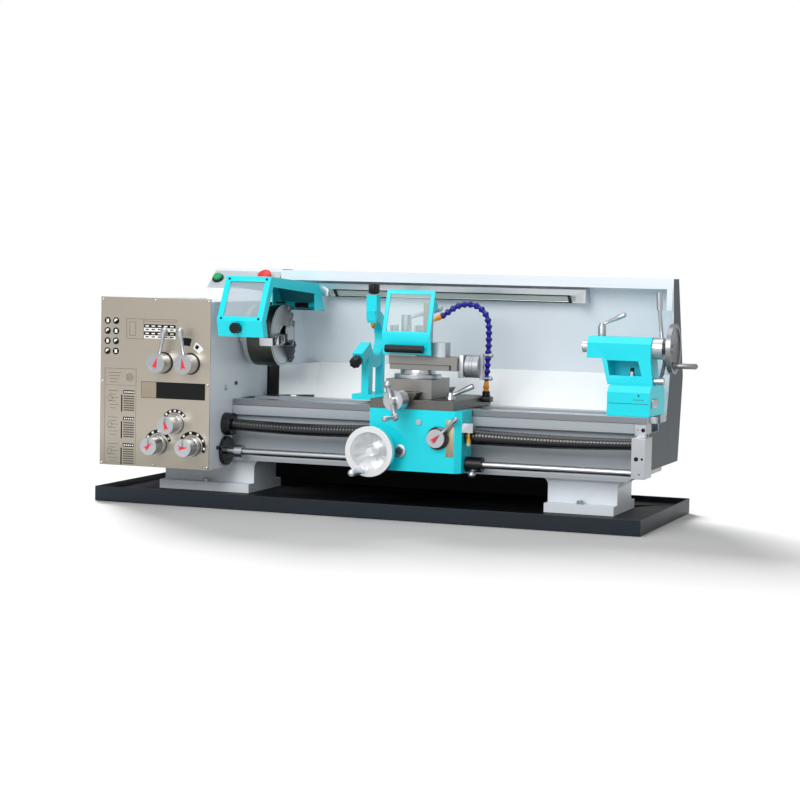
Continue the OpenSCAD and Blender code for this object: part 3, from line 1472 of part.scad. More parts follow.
// Swivel base: graduated ring, neck and the lower half of the top slide's way
module swivel_base() {
    z0 = cross_z1 + fit;
    z2 = z0 + ring_h + neck_h;
    color("#6b7075") difference() {
        union() {
            bar_z(z0, z0 + ring_h, cc_x, comp_y, ring_d);
            bar_z(z0 + ring_h, z2, cc_x, comp_y, neck_d);
            blk([top_x0, comp_y - base_w / 2, z2], [top_x0 + base_l, comp_y + base_w / 2, z2 + base_h]);
            blk([top_x0, comp_y - guide_w / 2, z2 + base_h],
                [top_x0 + base_l, comp_y + guide_w / 2, z2 + base_h + guide_h]);
        }
        bar_x(cc_x, top_x0 + base_l + over, comp_y, kc_z, kc_screw_d + 2 * fit);
    }
}

// Top slide with its end plate, the box beside the tool post and the post of the tool guard
module top_slide() {
    z0 = top_z0 + fit;
    y0 = comp_y - top_w / 2;
    y1 = comp_y + top_w / 2;
    x1 = top_x0 + top_l;
    color("#7a7f84") difference() {
        union() {
            blk([top_x0, y0, z0], [x1 - end_plate_l, y1, top_z1]);
            blk([x1 - end_plate_l, y0, top_z0 - base_h], [x1, y1, top_z1]);
            blk([block_x0, block_y0, top_z1], [block_x0 + block_l, block_y0 + block_w, top_z1 + block_h]);
            blk([tg_post_x, tg_post_y, top_z1], [block_x0, tg_post_y + tg_post_w, tg_pivot_z + tg_pin_d]);
        }
        blk([top_x0 - over, comp_y - guide_w / 2 - fit, top_z0 - over],
            [x1 - end_plate_l, comp_y + guide_w / 2 + fit, top_z0 + guide_h + fit]);
        bar_x(x1 - end_plate_l - over, x1 + over, comp_y, kc_z, kc_screw_d + 2 * run);
        bar_x(tg_post_x - over, block_x0 + over, tg_pivot_y, tg_pivot_z, tg_pin_d + 2 * run);
        bar_z(top_z0 + guide_h, top_z1 + over, post_x, comp_y, post_bolt_d + 2 * run);
    }
}
module compound_crank() {
    x0 = top_x0 + top_l + fit;
    x1 = x0 + kc_dial_l;
    color("#b4b9be") union() {
        bar_x(x0 - kc_screw_l, x0, comp_y, kc_z, kc_screw_d);
        bar_x(x0, x1, comp_y, kc_z, kc_dial_d);
        blk([x1, comp_y - kc_bar_w / 2, kc_z - kc_bar_l / 2], [x1 + kc_bar_t, comp_y + kc_bar_w / 2, kc_z + kc_bar_l / 2]);
        for (s = [-1, 1]) turned_x(x1 + kc_bar_t, comp_y, kc_z + s * (kc_bar_l - kc_bar_t) / 2)
            grip_profile(kc_handle_l, kc_handle_d);
    }
}

// Four-way tool post on its pin, with clamp screws, and the lever on top
module tool_post() {
    z0 = top_z1 + fit;
    z1 = z0 + post_h;
    h = post_w / 2;
    color("#8a8f94") union() {
        difference() {
            translate([post_x - h, comp_y - h, z0]) cube([post_w, post_w, post_h]);
            for (i = [0 : 3]) translate([post_x, comp_y, 0]) rotate([0, 0, i * 90])
                blk([h - post_slot_w, -h - over, z0 + post_foot_h],
                    [h + over, h - post_slot_w, z0 + post_foot_h + post_slot_h]);
        }
        bar_z(top_z1 - post_pin_l, z0, post_x, comp_y, post_bolt_d);
        for (i = [0 : 3], s = [-1, 1]) translate([post_x, comp_y, 0]) rotate([0, 0, i * 90])
            bar_z(z0 + post_foot_h + post_slot_h, z1 + set_screw_h, h - post_slot_w / 2, s * h * screw_pitch_share,
                set_screw_d);
        bar_z(z1, z1 + pl_stud_h, post_x, comp_y, pl_stud_d);
    }
}
module tool_post_lever() {
    z0 = top_z1 + fit + post_h + fit;
    color("#26292d") difference() {
        union() {
            bar_z(z0, z0 + pl_hub_h, post_x, comp_y, pl_hub_d);
            translate([post_x, comp_y, z0 + pl_hub_h * pl_arm_share]) rotate([0, 90 - pl_tilt, 0])
                rotate_extrude($fn = round_n) grip_profile(pl_arm_l, pl_arm_d);
        }
        bar_z(z0 - over, z0 - fit + pl_stud_h + fit, post_x, comp_y, pl_stud_d + 2 * run);
    }
}

// Tool guard: a bent frame with side returns on a pivot pin, and its window
module tool_guard() {
    x1 = tg_x0 + tg_w;
    color("#2fd0dc") difference() {
        union() {
            along_x(tg_x0, x1) polygon(strip(tg_path, -tg_t));
            for (x = [tg_x0, x1 - tg_t]) along_x(x, x + tg_t) polygon(concat(tg_path,
                [for (i = [2 : -1 : 0]) tg_path[i] + [tg_return, 0]]));
            along_x(x1 - tg_t, x1) polygon([[tg_y(tg_pivot_z - tg_ear), tg_pivot_z - tg_ear],
                [tg_pivot_y, tg_pivot_z - tg_pin_d], [tg_pivot_y + tg_pin_d, tg_pivot_z],
                [tg_pivot_y, tg_pivot_z + tg_pin_d], [tg_y(tg_pivot_z + tg_ear), tg_pivot_z + tg_ear]]);
            bar_x(tg_post_x, x1, tg_pivot_y, tg_pivot_z, tg_pin_d);
            bar_x(tg_bar_x, tg_bar_x + tg_bar_l, tg_y_crease - tg_bar_out, tg_bar_z, tg_bar_d);
            for (x = [tg_bar_x + tg_bar_d, tg_bar_x + tg_bar_l - tg_bar_d])
                bar_y(tg_y_crease - tg_bar_out, tg_y_low, x, tg_bar_z, tg_bar_d / 2);
        }
        along_x(tg_x0 + tg_margin, x1 - tg_margin)
            polygon(quad(tg_path[1], tg_path[2], tg_margin / 2, tg_run - tg_margin, -tg_t - over, over));
    }
}
module tool_guard_window() {
    m = tg_margin / 2;
    color("#cfe9ea") along_x(tg_x0 + m, tg_x0 + tg_w - m)
        polygon(quad(tg_path[1], tg_path[2], tg_margin / 4, tg_run - m, -tg_t - cg_glass_t, -tg_t));
}

// Tailstock body: base with bevels, a neck with a deep recess and the barrel with the quill's bore
module tailstock_body() {
    z0 = ways_z + fit;
    z1 = z0 + tail_base_h;
    bz = spindle_z - barrel_h / 2;
    bev = tail_bevel;
    color("#2fcbd8") difference() {
        union() {
            along_x(tail_base_x0, tail_base_x0 + tail_base_l) polygon([[tail_base_y0, z0], [tail_base_y0, z1],
                [tail_base_y0 + bev, z1 + bev], [tail_base_y1 - bev, z1 + bev], [tail_base_y1, z1], [tail_base_y1, z0]]);
            along_y(-barrel_w / 2, barrel_w / 2) polygon([[tail_x + neck_in, bz], [tail_x + barrel_l, bz],
                [tail_base_x0 + tail_base_l - neck_low_in, z1 + bev], [tail_base_x0 - neck_low_out, z1 + bev]]);
            along_x(tail_x, tail_x + barrel_l) polygon([[-barrel_w / 2, bz], [barrel_w / 2, bz],
                [barrel_w / 2, bz + barrel_h - bev], [barrel_w / 2 - bev, bz + barrel_h],
                [bev - barrel_w / 2, bz + barrel_h], [-barrel_w / 2, bz + barrel_h - bev]]);
            bar_x(tail_x + barrel_l, tail_x + barrel_l + tail_flange_l, 0, spindle_z, tail_flange_d);
        }
        along_y(-barrel_w / 2 - over, barrel_w / 2 - win_back_t) polygon([[tail_x + win_x0, win_z1],
            [tail_x + win_x1, win_z1], [tail_x + win_low_x1, win_z0], [tail_x + win_low_x0, win_z0]]);
        bar_x(tail_x - over, tail_x + barrel_l - quill_back, 0, spindle_z, quill_d + 2 * run);
        bar_x(tail_x, tail_x + barrel_l + tail_flange_l + over, 0, spindle_z, tw_shaft_d + 2 * run);
        bar_z(spindle_z + quill_d / 2 + ql_gap, spindle_z + barrel_h, ql_x, 0, ql_pin_d + 2 * run);
        bar_x(cam_x0 - cam_pin_l - fit, cam_x0 + over, cam_y, cam_z, cam_pin_d + 2 * run);
    }
}
module quill() {
    color("#b9bec3") difference() {
        bar_x(tail_x - quill_nose, tail_x - quill_nose + quill_l, 0, spindle_z, quill_d);
        bar_x(tail_x - quill_nose - over, tail_x - quill_nose + quill_l + over, 0, spindle_z, quill_bore);
    }
}
module tailstock_handwheel() {
    x0 = tail_x + barrel_l + tail_flange_l + fit;
    back = tw_x - tw_rim_t / 2 - tw_dish - x0;
    color("#c9cdd1") union() {
        turned_x(x0, 0, spindle_z) wheel_profile(tail_wheel_d, tw_rim_w, tw_rim_t, tw_dish, aw_plate_t, tw_hub_d, back);
        bar_x(tail_x + barrel_l - quill_back / 2, x0, 0, spindle_z, tw_shaft_d);
        translate([tw_x - tw_rim_t / 2, 0, spindle_z - tw_handle_r]) {
            bar_x(0, tw_rim_t, 0, 0, tw_handle_d + aw_pad);
            turned_x(tw_rim_t, 0, 0) stub_profile(tw_handle_l, tw_handle_d);
        }
    }
}

// Quill clamp on the barrel
module quill_lock_lever() {
    z1 = spindle_z + barrel_h / 2;
    color("#b4b9be") union() {
        bar_z(spindle_z + quill_d / 2 + ql_gap + fit, z1 + fit, ql_x, 0, ql_pin_d);
        bar_z(z1 + fit, z1 + fit + ql_post_h * belly_share, ql_x, 0, ql_post_d);
        translate([ql_x, 0, z1 + fit + ql_post_h * belly_share])
            cylinder(d1 = ql_post_d, d2 = ql_post_d * waist_share, h = ql_post_h * neck_share, $fn = round_n);
        translate([ql_x, 0, z1 + ql_post_h * pl_arm_share]) rotate([0, 90 - ql_tilt, 0])
            rotate_extrude($fn = round_n) grip_profile(ql_arm_l, ql_arm_d);
    }
}
// Round rod between two points with a ball at its start, and the cam lever that bows past the barrel's flange from a boss beside the neck
module rod(p, q, d, knee) {
    w = q - p;
    translate(p) rotate([0, acos(w[2] / norm(w)), atan2(w[1], w[0])]) {
        cylinder(d = d, h = norm(w), $fn = round_n);
        sphere(d = knee, $fn = round_n);
    }
}
module tailstock_cam_lever() {
    root = [cam_x0 + cam_boss_l / 2, cam_y, cam_z];
    knees = [for (k = cam_shares) root + k * cam_arm_l];
    tip = root + cam_grip_shares * cam_arm_l;
    n = len(knees);
    color("#b4b9be") union() {
        bar_x(cam_x0 - cam_pin_l, cam_x0, cam_y, cam_z, cam_pin_d);
        bar_x(cam_x0, cam_x0 + cam_boss_l, cam_y, cam_z, cam_boss_d);
        for (i = [0 : n - 2]) rod(knees[i], knees[i + 1], cam_arm_d, cam_knee_d);
        rod(knees[n - 1], tip, cam_grip_d, cam_knee_d);
    }
}

chip_tray();
left_plinth();
right_plinth();
bed();
headstock_casting();
gearbox_casing();
gear_cover();
control_panel();
screws();
control_box();
start_button();
stop_button();
spindle_bearings();
motor();
motor_pulley();
spindle();
spindle_pulley();
chuck_body();
chuck_jaw_1();
chuck_jaw_2();
chuck_jaw_3();
chuck_guard();
chuck_guard_window();
speed_lever_left();
speed_lever_right();
feed_knob_top();
feed_knob_left();
feed_knob_right();
rod_flanges();
leadscrew();
feed_rod();
end_bracket();
leadscrew_boot_left();
leadscrew_boot_right();
splash_guard();
work_light();
saddle();
apron();
apron_handwheel();
feed_lever();
control_lever();
saddle_lock_lever();
coolant_hose();
follow_rest();
rest_finger_top();
rest_finger_front();
cross_slide();
cross_crank();
swivel_base();
top_slide();
compound_crank();
tool_post();
tool_post_lever();
tool_guard();
tool_guard_window();
tailstock_body();
quill();
tailstock_handwheel();
quill_lock_lever();
tailstock_cam_lever();
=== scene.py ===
import json
import math

import bmesh
import bpy
from mathutils import Matrix, Vector

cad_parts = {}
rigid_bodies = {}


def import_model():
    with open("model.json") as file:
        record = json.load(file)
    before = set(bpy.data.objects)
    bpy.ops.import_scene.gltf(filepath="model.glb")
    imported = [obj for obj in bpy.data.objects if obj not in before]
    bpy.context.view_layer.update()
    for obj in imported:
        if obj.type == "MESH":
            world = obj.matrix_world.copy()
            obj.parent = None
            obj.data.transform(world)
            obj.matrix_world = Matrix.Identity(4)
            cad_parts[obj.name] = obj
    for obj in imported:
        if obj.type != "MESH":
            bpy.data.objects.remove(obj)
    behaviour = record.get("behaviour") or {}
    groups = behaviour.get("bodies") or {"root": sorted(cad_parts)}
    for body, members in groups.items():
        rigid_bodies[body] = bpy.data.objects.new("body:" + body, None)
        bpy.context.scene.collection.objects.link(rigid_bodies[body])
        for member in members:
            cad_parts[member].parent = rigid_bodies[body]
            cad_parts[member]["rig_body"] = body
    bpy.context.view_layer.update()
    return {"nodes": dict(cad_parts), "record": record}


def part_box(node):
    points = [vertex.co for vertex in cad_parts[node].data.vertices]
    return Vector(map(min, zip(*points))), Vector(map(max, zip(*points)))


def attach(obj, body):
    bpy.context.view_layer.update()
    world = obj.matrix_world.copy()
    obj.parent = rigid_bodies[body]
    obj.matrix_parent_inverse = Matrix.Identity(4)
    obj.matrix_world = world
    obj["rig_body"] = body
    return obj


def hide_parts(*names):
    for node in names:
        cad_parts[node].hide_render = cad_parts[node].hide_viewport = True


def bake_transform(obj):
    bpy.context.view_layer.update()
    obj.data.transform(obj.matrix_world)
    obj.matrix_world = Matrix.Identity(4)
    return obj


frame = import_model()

bl_info = {
    "name": "Bench lathe",
    "version": (1, 0, 0),
    "blender": (4, 5, 0),
    "location": "3D View > Sidebar > Lathe",
    "description": "Dresses the bench lathe's solids with edges, fittings and finishes",
    "category": "Object",
}

MM = 0.001
DONE = {"FINISHED"}
RIGHT, FRONT, UP = Vector((1, 0, 0)), Vector((0, -1, 0)), Vector((0, 0, 1))
ORIGIN = Matrix.Identity(4)
SPINDLE_Z = 434.0
SLOT_OF = {p["node"]: p["material_slot"] for p in frame["record"]["subparts"]}


def linear(code):
    """Linear colour of a six-digit colour code."""
    parts = (int(code[i : i + 2], 16) / 255 for i in (0, 2, 4))
    return tuple(c / 12.92 if c <= 0.04045 else ((c + 0.055) / 1.055) ** 2.4 for c in parts)


# Settings


def colour_setting(name, description, code):
    return bpy.props.FloatVectorProperty(
        name=name, description=description, subtype="COLOR", size=3, min=0, max=1, default=linear(code)
    )


def length_setting(name, description, default):
    return bpy.props.FloatProperty(
        name=name, description=description, subtype="DISTANCE", unit="LENGTH", min=0, default=default
    )


class LatheColours(bpy.types.PropertyGroup):
    """Colours of the lathe's paints and plastics"""

    casting: colour_setting("Castings", "Paint of the headstock, bed and plinths", "DDE4EA")
    tray: colour_setting("Tray", "Paint of the chip tray's rim", "1C242C")
    teal: colour_setting("Teal", "Enamel of the apron, guards, rest and tailstock", "03D2E0")
    sheet: colour_setting("Sheet metal", "Powder coat of the splash guard", "DFE6ED")
    panel: colour_setting("Front panel", "Brushed face of the control panel", "BDB5A8")
    hose: colour_setting("Hose", "Beads of the coolant hose", "1A0F86")
    fitting: colour_setting("Hose fittings", "Collars and nozzle of the coolant hose", "F29A14")


class LatheSizes(bpy.types.PropertyGroup):
    """Sizes of the lathe's small forms"""

    edge: length_setting("Casting edge", "Width of the rounded edges of castings", 0.0022)
    sheet_edge: length_setting("Sheet edge", "Width of the rounded edges of sheet and plate", 0.0006)
    machined_edge: length_setting("Machined edge", "Width of the broken edges of machined pieces", 0.0009)
    boot_pitch: length_setting("Boot pitch", "Distance from rib to rib of a leadscrew boot", 0.0083)
    bead_pitch: length_setting("Bead pitch", "Distance from bead to bead of the coolant hose", 0.0165)
    floor: length_setting("Floor", "Width of the studio floor", 60.0)


# Node trees and shader maths


def add_node(tree, kind, settings=None, sockets=None):
    """Adds a node to a tree: its settings first, then the values or links of its sockets."""
    made = tree.nodes.new(kind)
    for key, value in (settings or {}).items():
        setattr(made, key, value)
    for key, value in (sockets or {}).items():
        if isinstance(value, bpy.types.NodeSocket):
            tree.links.new(made.inputs[key], value)
        else:
            made.inputs[key].default_value = value
    return made


class Level:
    """A shader socket that takes part in sums and products."""

    def __init__(self, finish, socket):
        self.finish = finish
        self.socket = socket

    def joined(self, operation, left, right):
        made = self.finish.node("ShaderNodeMath", {"operation": operation}, {0: left, 1: right})
        return Level(self.finish, made.outputs[0])

    def __add__(self, other):
        return self.joined("ADD", self, other)

    __radd__ = __add__

    def __mul__(self, other):
        return self.joined("MULTIPLY", self, other)

    __rmul__ = __mul__


class Finish:
    """One material: its shader and the pattern nodes that feed it."""

    made = {}

    def __init__(self, name, colour, rough, metal=0.0, **constants):
        self.material = bpy.data.materials.new(name)
        self.material.use_nodes = True
        self.tree = self.material.node_tree
        self.tree.nodes.clear()
        self.colour = linear(colour) if isinstance(colour, str) else tuple(colour)
        fixed = {"Base Color": (*self.colour, 1), "Roughness": rough, "Metallic": metal}
        fixed.update({key.replace("_", " "): value for key, value in constants.items()})
        self.shader = self.node("ShaderNodeBsdfPrincipled", {}, fixed)
        self.node("ShaderNodeOutputMaterial", {}, {"Surface": Level(self, self.shader.outputs[0])})
        self.place = Level(self, self.node("ShaderNodeTexCoord").outputs["Object"])
        Finish.made[name] = self

    def node(self, kind, settings=None, sockets=None):
        """Adds a node to the material's tree; levels are linked to its sockets."""
        given = {key: getattr(value, "socket", value) for key, value in (sockets or {}).items()}
        return add_node(self.tree, kind, settings, given)

    def vector(self, operation, sockets, output=0):
        made = self.node("ShaderNodeVectorMath", {"operation": operation}, sockets)
        return Level(self, made.outputs[output])

    def noise(self, scale, detail=2.0, stretch=(1, 1, 1)):
        spread = self.vector("MULTIPLY", {0: self.place, 1: stretch})
        made = self.node("ShaderNodeTexNoise", {}, {"Vector": spread, "Scale": scale, "Detail": detail})
        return Level(self, made.outputs[0])

    def rings(self, scale, axis, centre):
        """Noise that changes only with the distance from an axis through a centre in millimetres."""
        flat = [0.0 if key == axis else 1.0 for key in "XYZ"]
        shifted = self.vector("SUBTRACT", {0: self.place, 1: [c * MM for c in centre]})
        reach = self.vector("LENGTH", {0: self.vector("MULTIPLY", {0: shifted, 1: flat})}, "Value")
        sockets = {"W": reach, "Scale": scale, "Detail": 3.0}
        made = self.node("ShaderNodeTexNoise", {"noise_dimensions": "1D"}, sockets)
        return Level(self, made.outputs[0])

    def tone(self, level, spread):
        """Lets the colour run from darker to lighter with a level."""
        dark = (*(c * (1 - spread) for c in self.colour), 1)
        light = (*(min(1, c * (1 + spread)) for c in self.colour), 1)
        made = self.node("ShaderNodeMix", {"data_type": "RGBA"}, {0: level, 6: dark, 7: light})
        self.feed("Base Color", Level(self, made.outputs[2]))

    def paint_shade_below(self, foot, top, share):
        """Paints shade: lets the colour fall to a share of itself from a height down to the foot, in metres.
        """
        split = self.node("ShaderNodeSeparateXYZ", {}, {0: self.place})
        sockets = {"Value": split.outputs["Z"], "From Min": foot, "From Max": top, "To Min": share}
        rise = self.node("ShaderNodeMapRange", {"interpolation_type": "SMOOTHSTEP"}, sockets)
        colour = self.shader.inputs["Base Color"].links[0].from_socket
        self.feed("Base Color", self.vector("SCALE", {0: colour, "Scale": rise.outputs[0]}))

    def feed(self, socket, level):
        self.tree.links.new(self.shader.inputs[socket], level.socket)

    def bump(self, height, distance, strength=1.0):
        made = self.node("ShaderNodeBump", {}, {"Height": height, "Distance": distance, "Strength": strength})
        self.feed("Normal", Level(self, made.outputs[0]))


def painted(name, colour, rough=0.36, coat=0.25, peel=0.00006, spread=0.05, **constants):
    """Sprayed paint with a fine orange peel."""
    made = Finish(name, colour, rough, Coat_Weight=coat, Coat_Roughness=0.12, **constants)
    cloud = made.noise(9, 3)
    made.tone(cloud, spread)
    made.feed("Roughness", cloud * 0.1 + (rough - 0.05))
    made.bump(made.noise(620, 2), peel)


def brushed(name, colour, rough, stretch, scale=90, spread=0.12, depth=0.00004, **constants):
    """Ground or brushed metal whose lines run along the short side of the stretch."""
    made = Finish(name, colour, rough, 1.0, **constants)
    lines = made.noise(scale, 4, stretch)
    made.tone(lines, spread)
    made.feed("Roughness", lines * 0.22 + (rough - 0.11))
    made.bump(lines, depth)
    return made


def lathe_turned(name, colour, rough, axis, centre, spread=0.12, depth=0.00005):
    """Turned metal with rings round an axis."""
    made = Finish(name, colour, rough, 1.0)
    lines = made.rings(900, axis, centre)
    made.tone(lines, spread)
    made.feed("Roughness", lines * 0.2 + (rough - 0.1))
    made.bump(lines, depth)


def moulded(name, colour, rough=0.4, grain=0.00005, spread=0.1, **constants):
    """Moulded plastic or rubber."""
    made = Finish(name, colour, rough, **constants)
    cloud = made.noise(14, 2)
    made.tone(cloud, spread)
    made.feed("Roughness", cloud * 0.12 + (rough - 0.06))
    made.bump(made.noise(850, 2), grain)


def see_through(name, colour, alpha):
    """Clear sheet that shows what is behind it."""
    made = Finish(name, colour, 0.06, Alpha=alpha, Specular_IOR_Level=0.3)
    made.feed("Roughness", made.noise(5, 2) * 0.06 + 0.03)


class LATHE_OT_finishes(bpy.types.Operator):
    """Makes every paint, metal and plastic of the lathe"""

    bl_idname = "lathe.finishes"
    bl_label = "Finishes"

    def execute(self, context):
        tint = context.scene.lathe_colours
        along_bed, upright, ground = (3, 160, 160), (160, 160, 3), (4, 140, 140)
        spindle = (0, 0, SPINDLE_Z)
        painted("casting_paint", tint.casting, 0.4, 0.12)
        # Bed webs: a darker grey than the castings, painted shade under the ways
        painted("bed_paint_shaded", "A9B1B8", 0.4, 0.12)
        painted("cover_paint", tint.casting, 0.4, 0.12)
        painted("tray_paint", tint.tray, 0.42, 0.0, Specular_IOR_Level=0.25)
        # Tray floor: the rim's dark paint made darker still, painted shade under the lathe
        painted("tray_floor_shade", "07080B", 0.5, 0.0, 0.00002, Specular_IOR_Level=0.12)
        painted("teal_enamel", tint.teal, 0.34, 0.12, 0.00005, 0.03, Specular_IOR_Level=0.35)
        # Dark copy of the teal for the guard's inner faces: painted shade
        painted("teal_painted_shade", "0A7F88", 0.45, 0.0, 0.00005)
        painted("guard_sheet", tint.sheet, 0.45, 0.05, 0.00003)
        # Lighter copy of the sheet's paint for its upward sloping faces: painted light
        painted("guard_sheet_painted_light", "F8FCFF", 0.45, 0.05, 0.00003)
        painted("guard_end_paint", "454B51", 0.5, 0.0, Specular_IOR_Level=0.3)
        # Near black for the guard under the bed and by the headstock: painted shade
        painted("guard_painted_shade", "0D0F12", 0.55, 0.0, Specular_IOR_Level=0.2)
        painted("box_paint", "E8EDF0", 0.34)
        # Darker grey of the sloped face, also used on the right end face as painted shade
        painted("box_face_and_side_shade_paint", "AEB7BC", 0.4)
        painted("motor_paint", "4C565F", 0.45)
        panel = brushed("panel_face", tint.panel, 0.36, (2, 150, 150), 110, 0.05)
        # The panel's brushed face is painted darker towards its foot: painted shade
        panel.paint_shade_below(0.09, 0.2, 0.72)
        brushed("plate_face", "B9A98F", 0.38, (150, 150, 2), 110, 0.08)
        brushed("way_steel", "C4C8CC", 0.32, along_bed, 90, 0.06)
        # Way fronts: a darker copy of the way steel, painted shade
        brushed("way_side_steel_shaded", "83878B", 0.4, along_bed, 90, 0.08)
        brushed("slide_steel", "8D8C89", 0.38, ground, 70, 0.12)
        brushed("saddle_steel", "6A6865", 0.42, ground, 60, 0.14)
        brushed("block_steel", "B4B8BC", 0.4, upright, 90, 0.06)
        brushed("bright_steel", "C9CCD0", 0.24, (60, 60, 60), 30, 0.04, 0.00002)
        brushed("rod_steel", "B0B4B8", 0.34, along_bed, 60, 0.05, 0.00002)
        brushed("light_body", "CDD1D5", 0.3, along_bed, 80, 0.05)
        lathe_turned("chuck_face_steel", "B9BCBE", 0.38, "X", spindle, 0.06, 0.00003)
        lathe_turned("chuck_side_steel", "5A5B54", 0.36, "X", spindle, 0.1, 0.00005)
        lathe_turned("apron_wheel_aluminium", "E6E8EA", 0.36, "Y", (27, 0, 164), 0.06, 0.00003)
        lathe_turned("tail_wheel_aluminium", "8E9094", 0.34, "X", spindle, 0.06, 0.00003)
        lathe_turned("ring_steel", "C0C3C6", 0.34, "Z", (94, -82, 0), 0.05, 0.00002)
        brushed("silver", "BEC2C6", 0.32, (70, 70, 70), 40, 0.03, 0.00002)
        brushed("dial_steel", "A6AAAE", 0.5, (70, 70, 70), 40, 0.04, 0.00002)
        brushed("dark_steel", "4D5053", 0.4, (80, 80, 80), 40, 0.1)
        brushed("brass", "D9A441", 0.3, (60, 60, 60), 40, 0.08)
        moulded("black_plastic", "0C0D10", 0.34, Specular_IOR_Level=0.35)
        moulded("gloss_black", "0E0F11", 0.16, 0.00003)
        moulded("boot_rubber", "060709", 0.3, 0.00004, Coat_Weight=0.35, Coat_Roughness=0.14)
        bead_gloss = {"Coat_Weight": 0.2, "Coat_Roughness": 0.08, "Specular_IOR_Level": 0.35}
        moulded("hose_bead", tint.hose, 0.2, 0.00003, **bead_gloss)
        moulded("hose_fitting", tint.fitting, 0.3)
        moulded("green_cap", "0E9C5F", 0.2)
        moulded("red_cap", "D8281F", 0.25)
        moulded("mark_black", "0D0E10", 0.42, Specular_IOR_Level=0.2)
        moulded("mark_white", "E6E6E2", 0.42)
        moulded("mark_red", "D81E2C", 0.38)
        moulded("mark_line", "4C463D", 0.45)
        moulded("mark_tan", "8F8471", 0.45)
        moulded("seam_shadow", "3A4046", 0.6)
        see_through("clear_sheet", "DDF1F2", 0.16)
        see_through("hood_sheet", "AEBBC4", 0.5)
        moulded("light_window", "A9B6B0", 0.12, 0.00001, Coat_Weight=0.5)
        moulded("sight_window", "3C4346", 0.16, 0.00001, Coat_Weight=0.6)
        return DONE


# Building pieces


def towards(origin, direction):
    """Place whose local Z points in a direction."""
    facing = Vector(direction).normalized().to_track_quat("Z", "Y").to_matrix().to_4x4()
    return Matrix.Translation(Vector(origin)) @ facing


def on_axes(x_axis, y_axis, z_axis, origin):
    """Place whose local axes point along three directions."""
    place = Matrix((x_axis, y_axis, z_axis)).transposed().to_4x4()
    place.translation = origin
    return place


def band(inner, outer, low, high):
    """Profile of a plain ring, or of a disc where the inner radius is zero."""
    return [(inner, low), (outer, low), (outer, high), (inner, high)]


def chamfered(inner, outer, shoulder, crown, top):
    """Profile of a ring or disc from zero up to a chamfer that ends at the crown's radius."""
    return [(inner, 0), (outer, 0), (outer, shoulder), (crown, top), (inner, top)]


